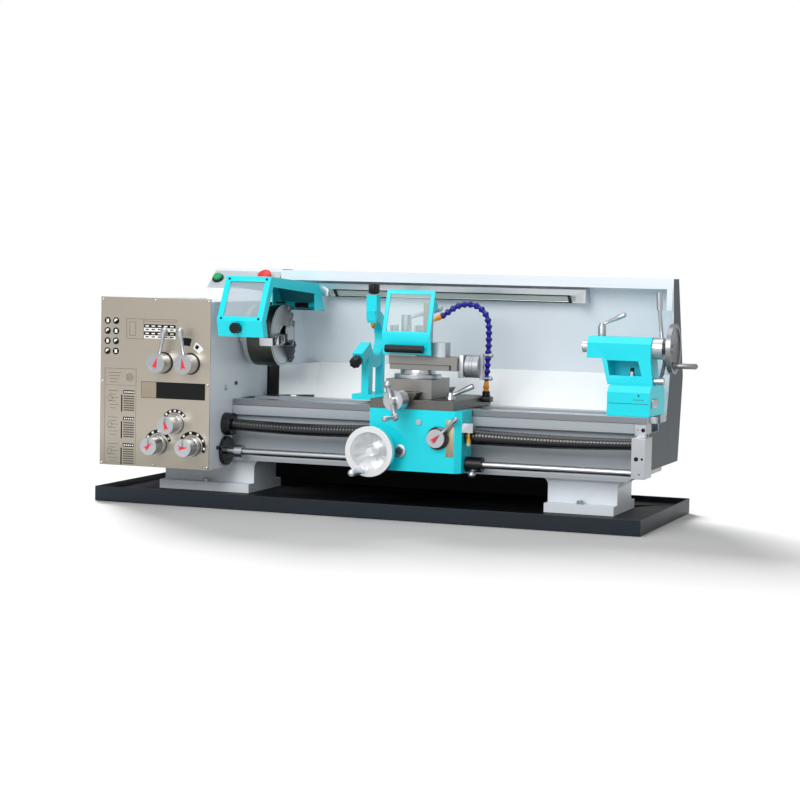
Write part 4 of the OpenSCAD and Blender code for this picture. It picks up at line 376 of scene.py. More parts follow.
class Shape:
    """A mesh in millimetres that solids are added to."""

    def __init__(self):
        self.bm = bmesh.new()

    def _slot(self, faces, slot):
        for face in faces:
            face.material_index = slot

    def block(self, low, high, slot=0, soft=0.0, place=None):
        """Box between two corners with its edges rounded."""
        low, high = Vector(low), Vector(high)
        spread = Matrix.Translation((low + high) / 2) @ Matrix.Diagonal((*(high - low), 1))
        made = bmesh.ops.create_cube(self.bm, size=1, matrix=spread)
        verts = made["verts"]
        faces = {f for v in verts for f in v.link_faces}
        if soft:
            edges = list({e for v in verts for e in v.link_edges})
            made = bmesh.ops.bevel(self.bm, geom=edges, offset=soft, segments=2, profile=0.5, affect="EDGES")
            verts = {v for f in made["faces"] for v in f.verts}
            faces = {f for v in verts for f in v.link_faces}
        self._slot(faces, slot)
        if place is not None:
            bmesh.ops.transform(self.bm, matrix=place, verts=list(verts))
        return self

    def turned(self, place, profile, slot=0, sides=48, ring=False, lobes=0, lobe=0.0):
        """Profile of (radius, reach) turned about a place's Z; a ring's profile closes on itself."""
        loops = []
        for radius, reach in profile:
            if radius <= 0:
                loops.append([self.bm.verts.new(place @ Vector((0, 0, reach)))])
                continue
            loop = []
            for i in range(sides):
                angle = 2 * math.pi * i / sides
                r = radius * (1 + lobe * math.cos(lobes * angle)) if lobes else radius
                point = Vector((r * math.cos(angle), r * math.sin(angle), reach))
                loop.append(self.bm.verts.new(place @ point))
            loops.append(loop)
        pairs = list(zip(loops, loops[1:]))
        if ring:
            pairs.append((loops[-1], loops[0]))
        faces = []
        for a, b in pairs:
            for i in range(sides):
                j = (i + 1) % sides
                if len(a) == 1 and len(b) == 1:
                    continue
                if len(a) == 1:
                    faces.append(self.bm.faces.new((a[0], b[j], b[i])))
                elif len(b) == 1:
                    faces.append(self.bm.faces.new((a[i], a[j], b[0])))
                else:
                    faces.append(self.bm.faces.new((a[i], a[j], b[j], b[i])))
        if not ring:
            for loop in (loops[0], loops[-1]):
                if len(loop) > 1:
                    faces.append(self.bm.faces.new(loop))
        self._slot(faces, slot)
        return self

    def prism(self, place, outline, height, slot=0):
        """Outline in a place's local X and Y, drawn out along its Z."""
        low = [self.bm.verts.new(place @ Vector((x, y, 0))) for x, y in outline]
        high = [self.bm.verts.new(place @ Vector((x, y, height))) for x, y in outline]
        faces = [self.bm.faces.new(low[::-1]), self.bm.faces.new(high)]
        for i in range(len(outline)):
            j = (i + 1) % len(outline)
            faces.append(self.bm.faces.new((low[i], low[j], high[j], high[i])))
        self._slot(faces, slot)
        return self

    def tube(self, points, radii, slot=0, sides=20):
        """Round tube of changing radius along points, closed at both ends."""
        points = [Vector(p) for p in points]
        loops = []
        side = None
        for k, point in enumerate(points):
            ahead = points[min(k + 1, len(points) - 1)] - points[max(k - 1, 0)]
            ahead.normalize()
            if side is None:
                side = ahead.orthogonal().normalized()
            side = (side - ahead * side.dot(ahead)).normalized()
            other = ahead.cross(side)
            r = radii[k] if isinstance(radii, (list, tuple)) else radii
            turn = [2 * math.pi * i / sides for i in range(sides)]
            round_it = [point + (side * math.cos(a) + other * math.sin(a)) * r for a in turn]
            loops.append([self.bm.verts.new(corner) for corner in round_it])
        faces = [self.bm.faces.new(loops[0][::-1]), self.bm.faces.new(loops[-1])]
        for a, b in zip(loops, loops[1:]):
            for i in range(sides):
                j = (i + 1) % sides
                faces.append(self.bm.faces.new((a[i], a[j], b[j], b[i])))
        self._slot(faces, slot)
        return self

    def mesh(self, name):
        """Turns the faces outwards and makes the solids one mesh in metres."""
        bmesh.ops.recalc_face_normals(self.bm, faces=self.bm.faces)
        bmesh.ops.scale(self.bm, vec=(MM, MM, MM), verts=self.bm.verts)
        mesh = bpy.data.meshes.new(name)
        self.bm.to_mesh(mesh)
        self.bm.free()
        return mesh

    def piece(self, name, body, slot, finishes, replaces=()):
        """Makes the solids a piece of the lathe that rides on a body."""
        return mesh_piece(name, self.mesh(name), body, slot, finishes, replaces)


def mesh_piece(name, mesh, body, slot, finishes, replaces=(), width=0.0, angle=34, segments=2):
    """Makes a mesh a piece with smooth curved faces and, at its sharp edges, a narrow rounding."""
    for finish in finishes:
        mesh.materials.append(Finish.made[finish].material)
    mesh.polygons.foreach_set("use_smooth", [True] * len(mesh.polygons))
    mesh.set_sharp_from_angle(angle=math.radians(angle))
    piece = bpy.data.objects.new(name, mesh)
    bpy.context.scene.collection.objects.link(piece)
    if width:
        bevel = piece.modifiers.new("edges", "BEVEL")
        bevel.width = width
        bevel.segments = segments
        bevel.limit_method = "ANGLE"
        bevel.angle_limit = math.radians(angle)
        bevel.harden_normals = True
        bevel.miter_outer = "MITER_ARC"
    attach(piece, body)
    if replaces:
        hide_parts(*replaces)
    return piece


WELD = 2e-6
FLAT = math.radians(0.4)


def dressed(node, finishes, width=None, pick=None, angle=34, segments=2, join=True):
    """Copies a solid, may join its coplanar faces, rounds its edges and gives each face a finish."""
    source = frame["nodes"][node]
    bm = bmesh.new()
    bm.from_mesh(source.data)
    bmesh.ops.remove_doubles(bm, verts=bm.verts, dist=WELD)
    if join:
        parts = {"verts": bm.verts, "edges": bm.edges}
        bmesh.ops.dissolve_limit(bm, angle_limit=FLAT, use_dissolve_boundaries=False, **parts)
    for face in bm.faces:
        corners = [v.co / MM for v in face.verts]
        face.material_index = pick(face.calc_center_median() / MM, face.normal, corners) if pick else 0
    mesh = bpy.data.meshes.new(node + "_form")
    bm.to_mesh(mesh)
    bm.free()
    if width is None:
        width = bpy.context.scene.lathe_sizes.machined_edge
    body = source["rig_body"]
    return mesh_piece(node + "_form", mesh, body, SLOT_OF[node], finishes, (node,), width, angle, segments)


def body_of(node):
    return frame["nodes"][node]["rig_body"]


# Repeated forms, placed by node trees


def placed_copies(name, unit, places, body, slot, finish):
    """One small mesh at each place, a point and a direction, by a node tree made one plain mesh."""
    holder = bpy.data.meshes.new(name)
    holder.from_pydata([tuple(p * MM for p in point) for point, _ in places], [], [])
    facing = holder.attributes.new("facing", "FLOAT_VECTOR", "POINT")
    facing.data.foreach_set("vector", [c for _, direction in places for c in Vector(direction).normalized()])
    unit_object = bpy.data.objects.new(name + "_unit", unit)
    bpy.context.scene.collection.objects.link(unit_object)
    carrier = bpy.data.objects.new(name + "_points", holder)
    bpy.context.scene.collection.objects.link(carrier)
    tree = bpy.data.node_groups.new(name + "_tree", "GeometryNodeTree")
    tree.interface.new_socket("Geometry", in_out="INPUT", socket_type="NodeSocketGeometry")
    unit_socket = tree.interface.new_socket("Unit", in_out="INPUT", socket_type="NodeSocketObject")
    size_socket = tree.interface.new_socket("Size", in_out="INPUT", socket_type="NodeSocketFloat")
    look_socket = tree.interface.new_socket("Finish", in_out="INPUT", socket_type="NodeSocketMaterial")
    tree.interface.new_socket("Geometry", in_out="OUTPUT", socket_type="NodeSocketGeometry")
    given = add_node(tree, "NodeGroupInput").outputs
    stored = {"data_type": "FLOAT_VECTOR"}
    read = add_node(tree, "GeometryNodeInputNamedAttribute", stored, {"Name": "facing"})
    facing_out = {"Vector": read.outputs["Attribute"]}
    turn = add_node(tree, "FunctionNodeAlignEulerToVector", {"axis": "Z"}, facing_out)
    info = add_node(tree, "GeometryNodeObjectInfo", {}, {"Object": given["Unit"]})
    put_there = {
        "Points": given["Geometry"],
        "Instance": info.outputs["Geometry"],
        "Rotation": turn.outputs["Rotation"],
        "Scale": given["Size"],
    }
    put = add_node(tree, "GeometryNodeInstanceOnPoints", {}, put_there)
    join = add_node(tree, "GeometryNodeRealizeInstances", {}, {"Geometry": put.outputs["Instances"]})
    coat = {"Geometry": join.outputs["Geometry"], "Material": given["Finish"]}
    look = add_node(tree, "GeometryNodeSetMaterial", {}, coat)
    add_node(tree, "NodeGroupOutput", {}, {"Geometry": look.outputs["Geometry"]})
    modifier = carrier.modifiers.new("copies", "NODES")
    modifier.node_group = tree
    modifier[unit_socket.identifier] = unit_object
    modifier[size_socket.identifier] = 1.0
    modifier[look_socket.identifier] = Finish.made[finish].material
    bpy.context.view_layer.update()
    evaluated = carrier.evaluated_get(bpy.context.evaluated_depsgraph_get())
    mesh = bpy.data.meshes.new_from_object(evaluated)
    mesh.name = name
    carrier.modifiers.clear()
    bpy.data.objects.remove(carrier)
    bpy.data.objects.remove(unit_object)
    mesh.materials.clear()
    return mesh_piece(name, mesh, body, slot, (finish,))


def socket_head(diameter, height, socket):
    """Cap screw head with a round socket."""
    r, s, low, rim = diameter / 2, socket / 2, height * 0.4, height * 0.84
    profile = [(0, low), (s, low), (s, height), (r * 0.86, height), (r, rim), (r, 0), (0, 0)]
    return Shape().turned(ORIGIN, profile, sides=24).mesh("cap_screw")


def button_head(diameter, height):
    """Low domed screw head."""
    r = diameter / 2
    dome = [(r * part, height * rise) for part, rise in ((0, 1), (0.5, 0.94), (0.85, 0.62), (1, 0.25))]
    return Shape().turned(ORIGIN, dome + [(r, 0), (0, 0)], sides=20).mesh("button_screw")


# Tray, plinths and bed


class LATHE_OT_tray(bpy.types.Operator):
    """Chip tray with a painted rim and a duller floor painted darker as painted shade under the lathe"""

    bl_idname = "lathe.tray"
    bl_label = "Chip tray"

    def execute(self, context):
        sizes = context.scene.lathe_sizes

        def pick(centre, normal, corners):
            # The tray's floor takes the darker finish: painted shade
            return 1 if normal.z > 0.9 and 20 < centre.z < 30 else 0

        dressed("chip_tray", ("tray_paint", "tray_floor_shade"), sizes.machined_edge, pick, join=False)
        return DONE


class LATHE_OT_plinths(bpy.types.Operator):
    """Cast plinths under the bed"""

    bl_idname = "lathe.plinths"
    bl_label = "Plinths"

    def execute(self, context):
        for node in ("left_plinth", "right_plinth"):
            dressed(node, ("casting_paint",), context.scene.lathe_sizes.edge)
        feet = [((x, y, 47), UP) for x in (-490, 529) for y in (-88, 88)]
        placed_copies("foot_bolts", socket_head(19, 9, 10), feet, "base", "ground_steel", "silver")
        return DONE


class LATHE_OT_bed(bpy.types.Operator):
    """Bed with ground ways and painted webs; the webs and the ways' front faces are darker as painted shade
    """

    bl_idname = "lathe.bed"
    bl_label = "Bed"

    def execute(self, context):
        def pick(centre, normal, corners):
            # The ways' front faces and the webs under them get the darker finishes: painted shade
            if centre.z > 252:
                return 2 if abs(normal.y) > 0.9 else 1
            return 0 if min(c.z for c in corners) > 124 else 3

        finishes = ("bed_paint_shaded", "way_steel", "way_side_steel_shaded", "casting_paint")
        dressed("bed", finishes, context.scene.lathe_sizes.machined_edge, pick)
        return DONE


# Headstock


PANEL_Y = -234.7
MARK, MARK_ABOVE, MARK_THIN, MARK_UNDER = 0.25, 0.4, 0.2, 0.15


def mark_disc(shape, x, z, r, slot):
    shape.turned(towards((x, PANEL_Y, z), FRONT), band(0, r, 0, MARK), slot, 28)


def mark_bar(shape, x0, x1, z0, z1, slot, up=MARK):
    shape.block((x0, PANEL_Y - up, z0), (x1, PANEL_Y, z1), slot)


def mark_frame(shape, x0, x1, z0, z1, width, slot, up=MARK):
    """Printed outline of four bars."""
    mark_bar(shape, x0, x1, z1 - width, z1, slot, up)
    mark_bar(shape, x0, x1, z0, z0 + width, slot, up)
    mark_bar(shape, x0, x0 + width, z0, z1, slot, up)
    mark_bar(shape, x1 - width, x1, z0, z1, slot, up)


def mark_arc(shape, x, z, r0, r1, a0, a1, slot, up=MARK, steps=16):
    """Printed ring segment between two radii and two angles in degrees."""
    place = on_axes(RIGHT, UP, FRONT, (x, PANEL_Y, z))
    turn = [math.radians(a0 + (a1 - a0) * i / steps) for i in range(steps + 1)]
    outer = [(r1 * math.cos(a), r1 * math.sin(a)) for a in turn]
    inner = [(r0 * math.cos(a), r0 * math.sin(a)) for a in reversed(turn)]
    shape.prism(place, outer + inner, up, slot)


class LATHE_OT_headstock(bpy.types.Operator):
    """Headstock and gearbox castings and the cover at the left end"""

    bl_idname = "lathe.headstock"
    bl_label = "Headstock"

    def execute(self, context):
        sizes = context.scene.lathe_sizes
        dressed("headstock_casting", ("casting_paint",), sizes.edge)
        dressed("gearbox_casing", ("casting_paint",), sizes.edge)
        dressed("gear_cover", ("cover_paint",), sizes.edge)
        dressed("spindle_bearings", ("bright_steel",))
        dressed("motor", ("motor_paint",))
        trim = Shape()
        for y, z, r, shoulder, crown, top in (
            (-139, 300, 7, 1.6, 5.6, 2.2), (-60, 420, 6, 1.4, 4.8, 2), (60, 385, 9, 1.6, 7, 2.4),
        ):
            trim.turned(towards((-415, y, z), RIGHT), chamfered(0, r, shoulder, crown, top), 0, 28)
        trim.piece("headstock_plugs", "base", "ground_steel", ("silver",))
        return DONE


BLACK, WHITE, LINE, TAN = range(4)


class LATHE_OT_front_panel(bpy.types.Operator):
    """Brushed front panel with its printed tables, rings and scales"""

    bl_idname = "lathe.front_panel"
    bl_label = "Front panel"

    def execute(self, context):
        dressed("control_panel", ("panel_face",), context.scene.lathe_sizes.sheet_edge)
        marks = Shape()
        self.button_column(marks)
        self.speed_tables(marks)
        self.labels(marks)
        self.scales(marks)
        finishes = ("mark_black", "mark_white", "mark_line", "mark_tan")
        marks.piece("panel_print", "base", "panel", finishes)
        x0, x1, z0, z1 = -723, -421, 98, 523
        places = [((x, PANEL_Y, z), FRONT) for x in (x0, (x0 + x1) / 2, x1) for z in (z0, z1)]
        places += [((x, PANEL_Y, (z0 + z1) / 2), FRONT) for x in (x0, x1)]
        steel = ("base", "ground_steel")
        small = placed_copies("panel_screws", button_head(7, 2.5), places, *steel, "bright_steel")
        caps = [((-415, -78, 309), RIGHT), ((-415, -187, 147), RIGHT)]
        placed_copies("casting_screws", socket_head(10, 4, 5), caps, *steel, "dark_steel")
        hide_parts("screws")
        return DONE

    def button_column(self, marks):
        """Two columns of round symbols at the upper left."""
        for column, x in enumerate((-709.5, -685)):
            for row in range(4):
                z = 467 - row * 26.2
                mark_disc(marks, x, z, 9, BLACK)
                if (row + column) % 2:
                    mark_arc(marks, x, z, 0.5, 5.5, 35, 215, WHITE, MARK_ABOVE)
                else:
                    mark_bar(marks, x - 3.4, x + 3.4, z - 4.6, z + 4.6, WHITE, MARK_ABOVE)

    def speed_tables(self, marks):
        """Tables of cells over the speed levers, with the frames beside them."""
        for z in (452, 433):
            mark_bar(marks, -604, -514, z, z + 8.5, BLACK)
            mark_bar(marks, -604, -514, z - 8.5, z - 0.8, WHITE)
            for i in range(5):
                x = -600 + i * 17.6
                mark_bar(marks, x, x + 10, z + 2.6, z + 5.8, WHITE, MARK_ABOVE)
                mark_bar(marks, x, x + 10, z - 6, z - 3, BLACK, MARK_ABOVE)
        for corners in ((-655, -605, 422, 474), (-646, -628, 430, 466), (-603, -510, 468, 474)):
            mark_frame(marks, *corners, 0.8, LINE)

    def labels(self, marks):
        """Three labels with rows of lines and a ring each, in one frame, and one label above them."""
        for top in (288, 219, 150):
            mark_bar(marks, -662, -630, top - 9, top, BLACK)
            mark_bar(marks, -668, -664.5, top - 56, top - 12, BLACK)
            for k in range(7):
                z = top - 14 - k * 6
                mark_bar(marks, -661, -630, z - 3.2, z, LINE, MARK_UNDER)
            for k in range(5):
                x = -659 + k * 6
                mark_bar(marks, x, x + 3.4, top - 6.6, top - 2.8, WHITE, MARK_ABOVE)
            for k in range(6):
                z = top - 2 - k * 9
                mark_bar(marks, -706 + (k % 3) * 3, -676 - (k % 2) * 6, z - 1, z, LINE, MARK_THIN)
            mark_arc(marks, -700, top - 22, 6.5, 7.3, 0, 359, LINE, MARK_THIN, 24)
        for corners in ((-716, -625, 300, 344), (-716, -625, 97, 344)):
            mark_frame(marks, *corners, 0.7, LINE, MARK_UNDER)
        for k in range(4):
            mark_bar(marks, -706 + k * 2, -668 - k * 4, 332 - k * 8, 333 - k * 8, LINE, MARK_THIN)
            mark_arc(marks, -644, 322, 2 + k * 2.6, 2.8 + k * 2.6, 0, 359, LINE, MARK_THIN, 24)

    def scales(self, marks):
        """Dark plate in the middle and the scales round the levers and knobs."""
        mark_bar(marks, -610, -428, 270.5, 313, BLACK)
        mark_bar(marks, -609, -567, 271.5, 312, TAN, MARK_ABOVE)
        mark_arc(marks, -484, 361, 46, 64, 38, 64, WHITE)
        mark_arc(marks, -484, 361, 50, 60, 50, 60, BLACK, MARK_ABOVE)
        mark_arc(marks, -484, 361, 48, 68, 76, 104, BLACK)
        for x, z, a0, a1 in ((-513, 206, 35, 145), (-560, 151, 15, 160), (-463, 151, -25, 150)):
            mark_arc(marks, x, z, 30, 39, a0, a1, BLACK)
            for k in range(5):
                mid = a0 + (a1 - a0) * (k + 0.5) / 5
                mark_arc(marks, x, z, 32, 37, mid - 5, mid + 5, WHITE, MARK_ABOVE, 4)


def pointer(shape, x, y, z, size, angle, slot):
    """Red pointer laid on a knob's face: a long blade with a notched tail."""
    turn = math.radians(angle)
    across = Vector((math.cos(turn), 0, math.sin(turn)))
    ahead = Vector((-math.sin(turn), 0, math.cos(turn)))
    half = [(0, 1), (-0.42, -0.85), (-0.1, -0.5), (0, -0.85), (0.1, -0.5), (0.42, -0.85)]
    outline = [(a * size, b * size) for a, b in half]
    shape.prism(on_axes(across, ahead, FRONT, (x, y, z)), outline, 0.5, slot)


KNOBS = (
    # Node, x, z, radius and pointer angle
    ("speed_lever_left", -548, 363, 25, -18),
    ("speed_lever_right", -471, 363, 25, 8),
    ("feed_knob_top", -513, 206, 23, 24),
    ("feed_knob_left", -560, 151, 23, -48),
    ("feed_knob_right", -463, 151, 23, -84),
)


class LATHE_OT_knobs(bpy.types.Operator):
    """Levers and knobs on the front panel, with red pointers"""

    bl_idname = "lathe.knobs"
    bl_label = "Front knobs"

    def execute(self, context):
        for node, x, z, r, angle in KNOBS:
            dressed(node, ("silver",))
            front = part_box(node)[0].y / MM
            cap = Shape()
            rim = band(r * 0.74, r * 0.8, -0.4, 0.25)
            cap.turned(towards((x, front, z), FRONT), rim, 0, 64, ring=True)
            pointer(cap, x, front, z, r * 0.66, angle, 1)
            cap.piece(node + "_face", body_of(node), SLOT_OF[node], ("bright_steel", "mark_red"))
            ring = Shape()
            base = towards((x, PANEL_Y, z), FRONT)
            ring.turned(base, band(r * 0.5, r + 3, 0, 0.5), 0, 48, ring=True)
            ring.piece(node + "_plate_ring", "base", "black_plastic", ("black_plastic",))
        return DONE


class LATHE_OT_control_box(bpy.types.Operator):
    """Control box with its push buttons"""

    bl_idname = "lathe.control_box"
    bl_label = "Control box"

    def execute(self, context):
        def pick(centre, normal, corners):
            if normal.y < -0.5 and normal.z > 0.5:
                return 1
            # The right end face takes the darker grey as painted shade
            if normal.x > 0.9 and centre.x > -392:
                return 1
            return 0

        sizes = context.scene.lathe_sizes
        dressed("control_box", ("box_paint", "box_face_and_side_shade_paint"), sizes.sheet_edge, pick)
        dressed("start_button", ("green_cap",))
        dressed("stop_button", ("red_cap",), sizes.machined_edge, None, 50, 3)
        slope = Vector((0, -0.636, 0.771))
        trim = Shape()
        for x, tall in ((-568, 5.3), (-426, 1)):
            collar = chamfered(12.2, 15.9, tall - 0.6, 15, tall)
            trim.turned(towards((x, 130.2, 577.9), slope), collar, 0, 40, ring=True)
        trim.piece("button_collars", "base", "black_plastic", ("black_plastic",))
        return DONE


# Spindle, chuck and chuck guard


class LATHE_OT_chuck(bpy.types.Operator):
    """Spindle, pulleys, chuck body and jaws"""

    bl_idname = "lathe.chuck"
    bl_label = "Chuck"

    def execute(self, context):
        def face_or_side(centre, normal, corners):
            return 0 if abs(normal.x) > 0.9 else 1

        dressed("spindle", ("bright_steel",))
        dressed("spindle_pulley", ("dark_steel",))
        dressed("motor_pulley", ("dark_steel",))
        dressed("chuck_body", ("chuck_face_steel", "chuck_side_steel"), None, face_or_side)
        for number, angle in ((1, 70), (2, 190), (3, 310)):
            jaw = "chuck_jaw_%d" % number
            dressed(jaw, ("bright_steel",))
            turn = math.radians(angle)
            radial = Vector((0, math.cos(turn), math.sin(turn)))
            side = RIGHT.cross(radial)
            teeth = Shape()
            for step in range(3):
                for k in range(4):
                    reach = 24 + step * 62 / 3 + 3 + k * 4.6
                    mid = Vector((-292.7 - step * 8, 0, SPINDLE_Z)) + radial * reach
                    place = on_axes(RIGHT, radial, side, mid)
                    teeth.block((-0.5, -1.5, -10.6), (0.9 - step * 0.1, 1.5, 10.6), 0, 0.4, place)
            teeth.piece(jaw + "_teeth", "jaw_%d" % number, "ground_steel", ("dark_steel",))
        rings = Shape()
        axis = towards((-316.7, 0, SPINDLE_Z), RIGHT)
        for r in (30, 74):
            rings.turned(axis, band(r, r + 1.4, -0.3, 0.25), 0, 96, ring=True)
        for k in range(3):
            turn = math.radians(130 + k * 120)
            outward = Vector((0, math.cos(turn), math.sin(turn)))
            socket = towards(Vector((-346, 0, SPINDLE_Z)) + outward * 79.6, outward)
            rings.turned(socket, band(5.2, 8.6, -2, 0.5), 0, 32, ring=True)
            # A black square at the foot of each key socket: painted shade in the hole
            rings.turned(socket, band(0, 5.2, -2, -1.2), 1, 4)
        rings.piece("chuck_trim", "spindle_group", "ground_steel", ("dark_steel", "black_plastic"))
        return DONE


STAR_PROFILE = (
    (0, 0), (0.42, 0), (0.42, 0.3), (0.8, 0.36), (0.92, 0.5), (0.92, 0.82), (0.78, 0.97), (0.3, 1), (0, 1),
)


def star_knob(shape, place, r, length, slot):
    """Hand knob of six lobes standing out along the place's Z."""
    profile = [(r * part, length * rise) for part, rise in STAR_PROFILE]
    shape.turned(place, profile, slot, 72, lobes=6, lobe=0.085)


class LATHE_OT_chuck_guard(bpy.types.Operator):
    """Hinged chuck guard with its window, knob and hinge rod"""

    bl_idname = "lathe.chuck_guard"
    bl_label = "Chuck guard"

    def execute(self, context):
        def pick(centre, normal, corners):
            if max(math.hypot(c.y - 112, c.z - 512.5) for c in corners) < 8.5:
                return 1
            if max(math.hypot(c.x + 333, c.z - 459.6) for c in corners) < 14.2 and centre.y < -248.9:
                return 1
            # Faces turned down or inwards get the dark teal: painted shade
            if normal.z < -0.4 or (normal.y > 0.4 and centre.y < -100):
                return 2
            return 0

        sizes = context.scene.lathe_sizes
        dressed("chuck_guard", ("teal_enamel", "black_plastic", "teal_painted_shade"), sizes.sheet_edge, pick)
        dressed("chuck_guard_window", ("hood_sheet",), sizes.sheet_edge)
        low, high = Vector((0, -259, 478)), Vector((0, -204, 590))
        run = (high - low).normalized()
        out = Vector((0, -run.z, run.y))
        trim = Shape()
        for reach in (6, (high - low).length - 8):
            for x in (-376, -273):
                base = Vector((x, 0, 0)) + low + run * reach
                trim.turned(towards(base, out), chamfered(0, 3.2, 1, 2.2, 1.8), 0, 20)
        star_knob(trim, towards((-333, -246.5, 459.6), FRONT), 14.6, 23, 1)
        trim.piece("chuck_guard_trim", "chuck_hood", "black_plastic", ("black_plastic", "gloss_black"))
        return DONE


# Splash guard and light


class LATHE_OT_splash_guard(bpy.types.Operator):
    """Splash guard behind the bed"""

    bl_idname = "lathe.splash_guard"
    bl_label = "Splash guard"

    def execute(self, context):
        def pick(centre, normal, corners):
            if normal.x > 0.9 and centre.x > 690:
                return 1
            # The sheet below the bed and its left end by the headstock are painted near black: painted shade
            if max(c.z for c in corners) < 139:
                return 2
            if max(c.x for c in corners) < -409.5 or (centre.x < -409.5 and abs(normal.x) > 0.9):
                return 2
            # Upward sloping faces get the lighter copy of the sheet's paint: painted light
            if normal.z > 0.5 and 240 < centre.z < 350 and centre.x > -420:
                return 3
            return 0

        finishes = ("guard_sheet", "guard_end_paint", "guard_painted_shade", "guard_sheet_painted_light")
        dressed("splash_guard", finishes, context.scene.lathe_sizes.sheet_edge, pick)
        return DONE


class LATHE_OT_work_light(bpy.types.Operator):
    """Long work light under the splash guard's lip"""

    bl_idname = "lathe.work_light"
    bl_label = "Work light"

    def execute(self, context):
        def pick(centre, normal, corners):
            return 1 if normal.y < -0.5 and normal.z < -0.5 and abs(centre.x - 85) < 300 else 0

        dressed("work_light", ("light_body", "light_window"), None, pick)
        trim = Shape()
        tilt = Vector((0, -1, -1)).normalized()
        along = Vector((0, 1, -1)).normalized()
        place = on_axes(RIGHT, along, tilt, (85.5, 180, 547))
        half, reach = 331, 14.1
        for a, b, c, d in (
            (-half, half, reach - 3, reach), (-half, half, -reach, -reach + 3),
            (-half, -half + 8, -reach, reach), (half - 8, half, -reach, reach),
        ):
            trim.block((a, c, -0.5), (b, d, 0.6), 0, 0, place)
        trim.piece("work_light_frame", "base", "black_plastic", ("black_plastic",))
        return DONE


# Rods along the bed and their boots


def boot(name, node, x_range, radii, sag, ends, pitch):
    """Ribbed boot that hangs a little between its ends."""
    (x0, x1), (r0, r1) = x_range, radii
    ribs = round((x1 - x0) / (pitch / MM))
    steps = ribs * 6
    points, waves = [], []
    for k in range(steps + 1):
        t = k / steps
        points.append((x0 + (x1 - x0) * t, -139, 206 - sag * 4 * t * (1 - t)))
        wave = 0.5 - 0.5 * math.cos(2 * math.pi * ribs * t)
        waves.append(r0 + (r1 - r0) * t - 0.6 + 0.4 * wave)
    piece = Shape().tube(points, waves, 0, 28).piece(name, "base", "boot_rubber", ("boot_rubber",))
    piece.parent = None
    start, end = ((x, -0.139, 0.206) for x in ends)
    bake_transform(piece)
    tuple(start)
    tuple(end)
    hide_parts(node)


class LATHE_OT_rods(bpy.types.Operator):
    """Leadscrew, feed rod, their flanges and end bracket, and the ribbed boots"""

    bl_idname = "lathe.rods"
    bl_label = "Rods and boots"

    def execute(self, context):
        pitch = context.scene.lathe_sizes.boot_pitch
        dressed("rod_flanges", ("gloss_black",))
        dressed("leadscrew", ("rod_steel",))
        dressed("feed_rod", ("rod_steel",))
        dressed("end_bracket", ("block_steel",))
        # Black discs on the bracket's front stand for its holes: painted shade
        holes = Shape()
        for x, y, z, r in (
            (684.5, -162, 172.5, 5.5), (698.8, -162, 172.8, 3), (692.7, -162, 135.7, 2),
            (686.4, -105, 238.4, 5), (673.2, -105, 239, 1.4),
        ):
            holes.turned(towards((x, y, z), FRONT), band(0, r, 0, 0.2), 0, 24)
        holes.piece("bracket_holes", "base", "ground_steel", ("mark_black",))
        left, right = ("left_boot", "leadscrew_boot_left"), ("right_boot", "leadscrew_boot_right")
        boot(*left, (-390.7, 6.7), (15.4, 16.9), 5, (-0.38, 0.0067), pitch)
        boot(*right, (246.3, 671.7), (20.4, 14.4), 4, (0.6717, 0.256), pitch)
        return DONE


# Carriage


class LATHE_OT_saddle(bpy.types.Operator):
    """Saddle, apron and the fittings on the apron"""

    bl_idname = "lathe.saddle"
    bl_label = "Saddle and apron"

    def execute(self, context):
        sizes = context.scene.lathe_sizes

        def paint_or_steel(centre, normal, corners):
            """Sight glass, plug and valve are metal on the painted apron."""
            return 1 if centre.y < -190.2 or (centre.x > 246.2 and -180 < centre.y < -150) else 0

        dressed("saddle", ("saddle_steel",), sizes.machined_edge)
        dressed("apron", ("teal_enamel", "silver"), sizes.edge, paint_or_steel)
        dressed("apron_handwheel", ("apron_wheel_aluminium",), 0.0012, None, 50, 3)
        dressed("feed_lever", ("silver",))

        def ball(centre, normal, corners):
            return 1 if centre.z < 124 else 0

        dressed("control_lever", ("black_plastic", "silver"), None, ball)
        dressed("saddle_lock_lever", ("silver",))
        trim = Shape()
        front = -190.0
        trim.block((209, front - 0.8, 155), (230, front, 247), 0, 0.3)
        for z in (159, 243):
            screw = towards((219.5, front - 0.8, z), FRONT)
            trim.turned(screw, [(0, 0), (2, 0), (1.6, 1), (0, 1)], 1, 16)
        ring = towards((189, front, 201.5), FRONT)
        trim.turned(ring, chamfered(20, 28.5, 6.2, 27, 7.2), 2, 56, ring=True)
        glass = towards((89, front - 4, 164.5), FRONT)
        trim.turned(glass, chamfered(9.5, 16.4, 1.6, 15, 2.4), 1, 48, ring=True)
        trim.turned(glass, [(0, -1), (10, -1), (10, 1), (7, 1.9), (0, 2.2)], 3, 48)
        finishes = ("plate_face", "silver", "gloss_black", "sight_window")
        trim.piece("apron_fittings", "carriage", "teal_paint", finishes)
        valve = Shape()
        stem = towards((261, -167, 217), (0, 0, -1))
        valve.turned(stem, [(0, -2), (4, -2), (4, 16), (6.9, 16), (6.9, 25), (5, 26), (0, 26)], 0, 28)
        valve.piece("valve_stem", "carriage", "teal_paint", ("brass",))
        face = Shape()
        pointer(face, 189, -217.0, 201.5, 15, -45, 0)
        face.piece("feed_lever_pointer", "apron_lever", "aluminium", ("mark_red",))
        return DONE


class LATHE_OT_cross_slide(bpy.types.Operator):
    """Cross slide and its ball crank and dial"""

    bl_idname = "lathe.cross_slide"
    bl_label = "Cross slide"

    def execute(self, context):
        dressed("cross_slide", ("slide_steel",))
        dressed("cross_crank", ("silver",), None, None, 40)
        return DONE


# Left end, axis and radius of the compound dial
DIAL = (210.3, -82, 376.8, 28.5)


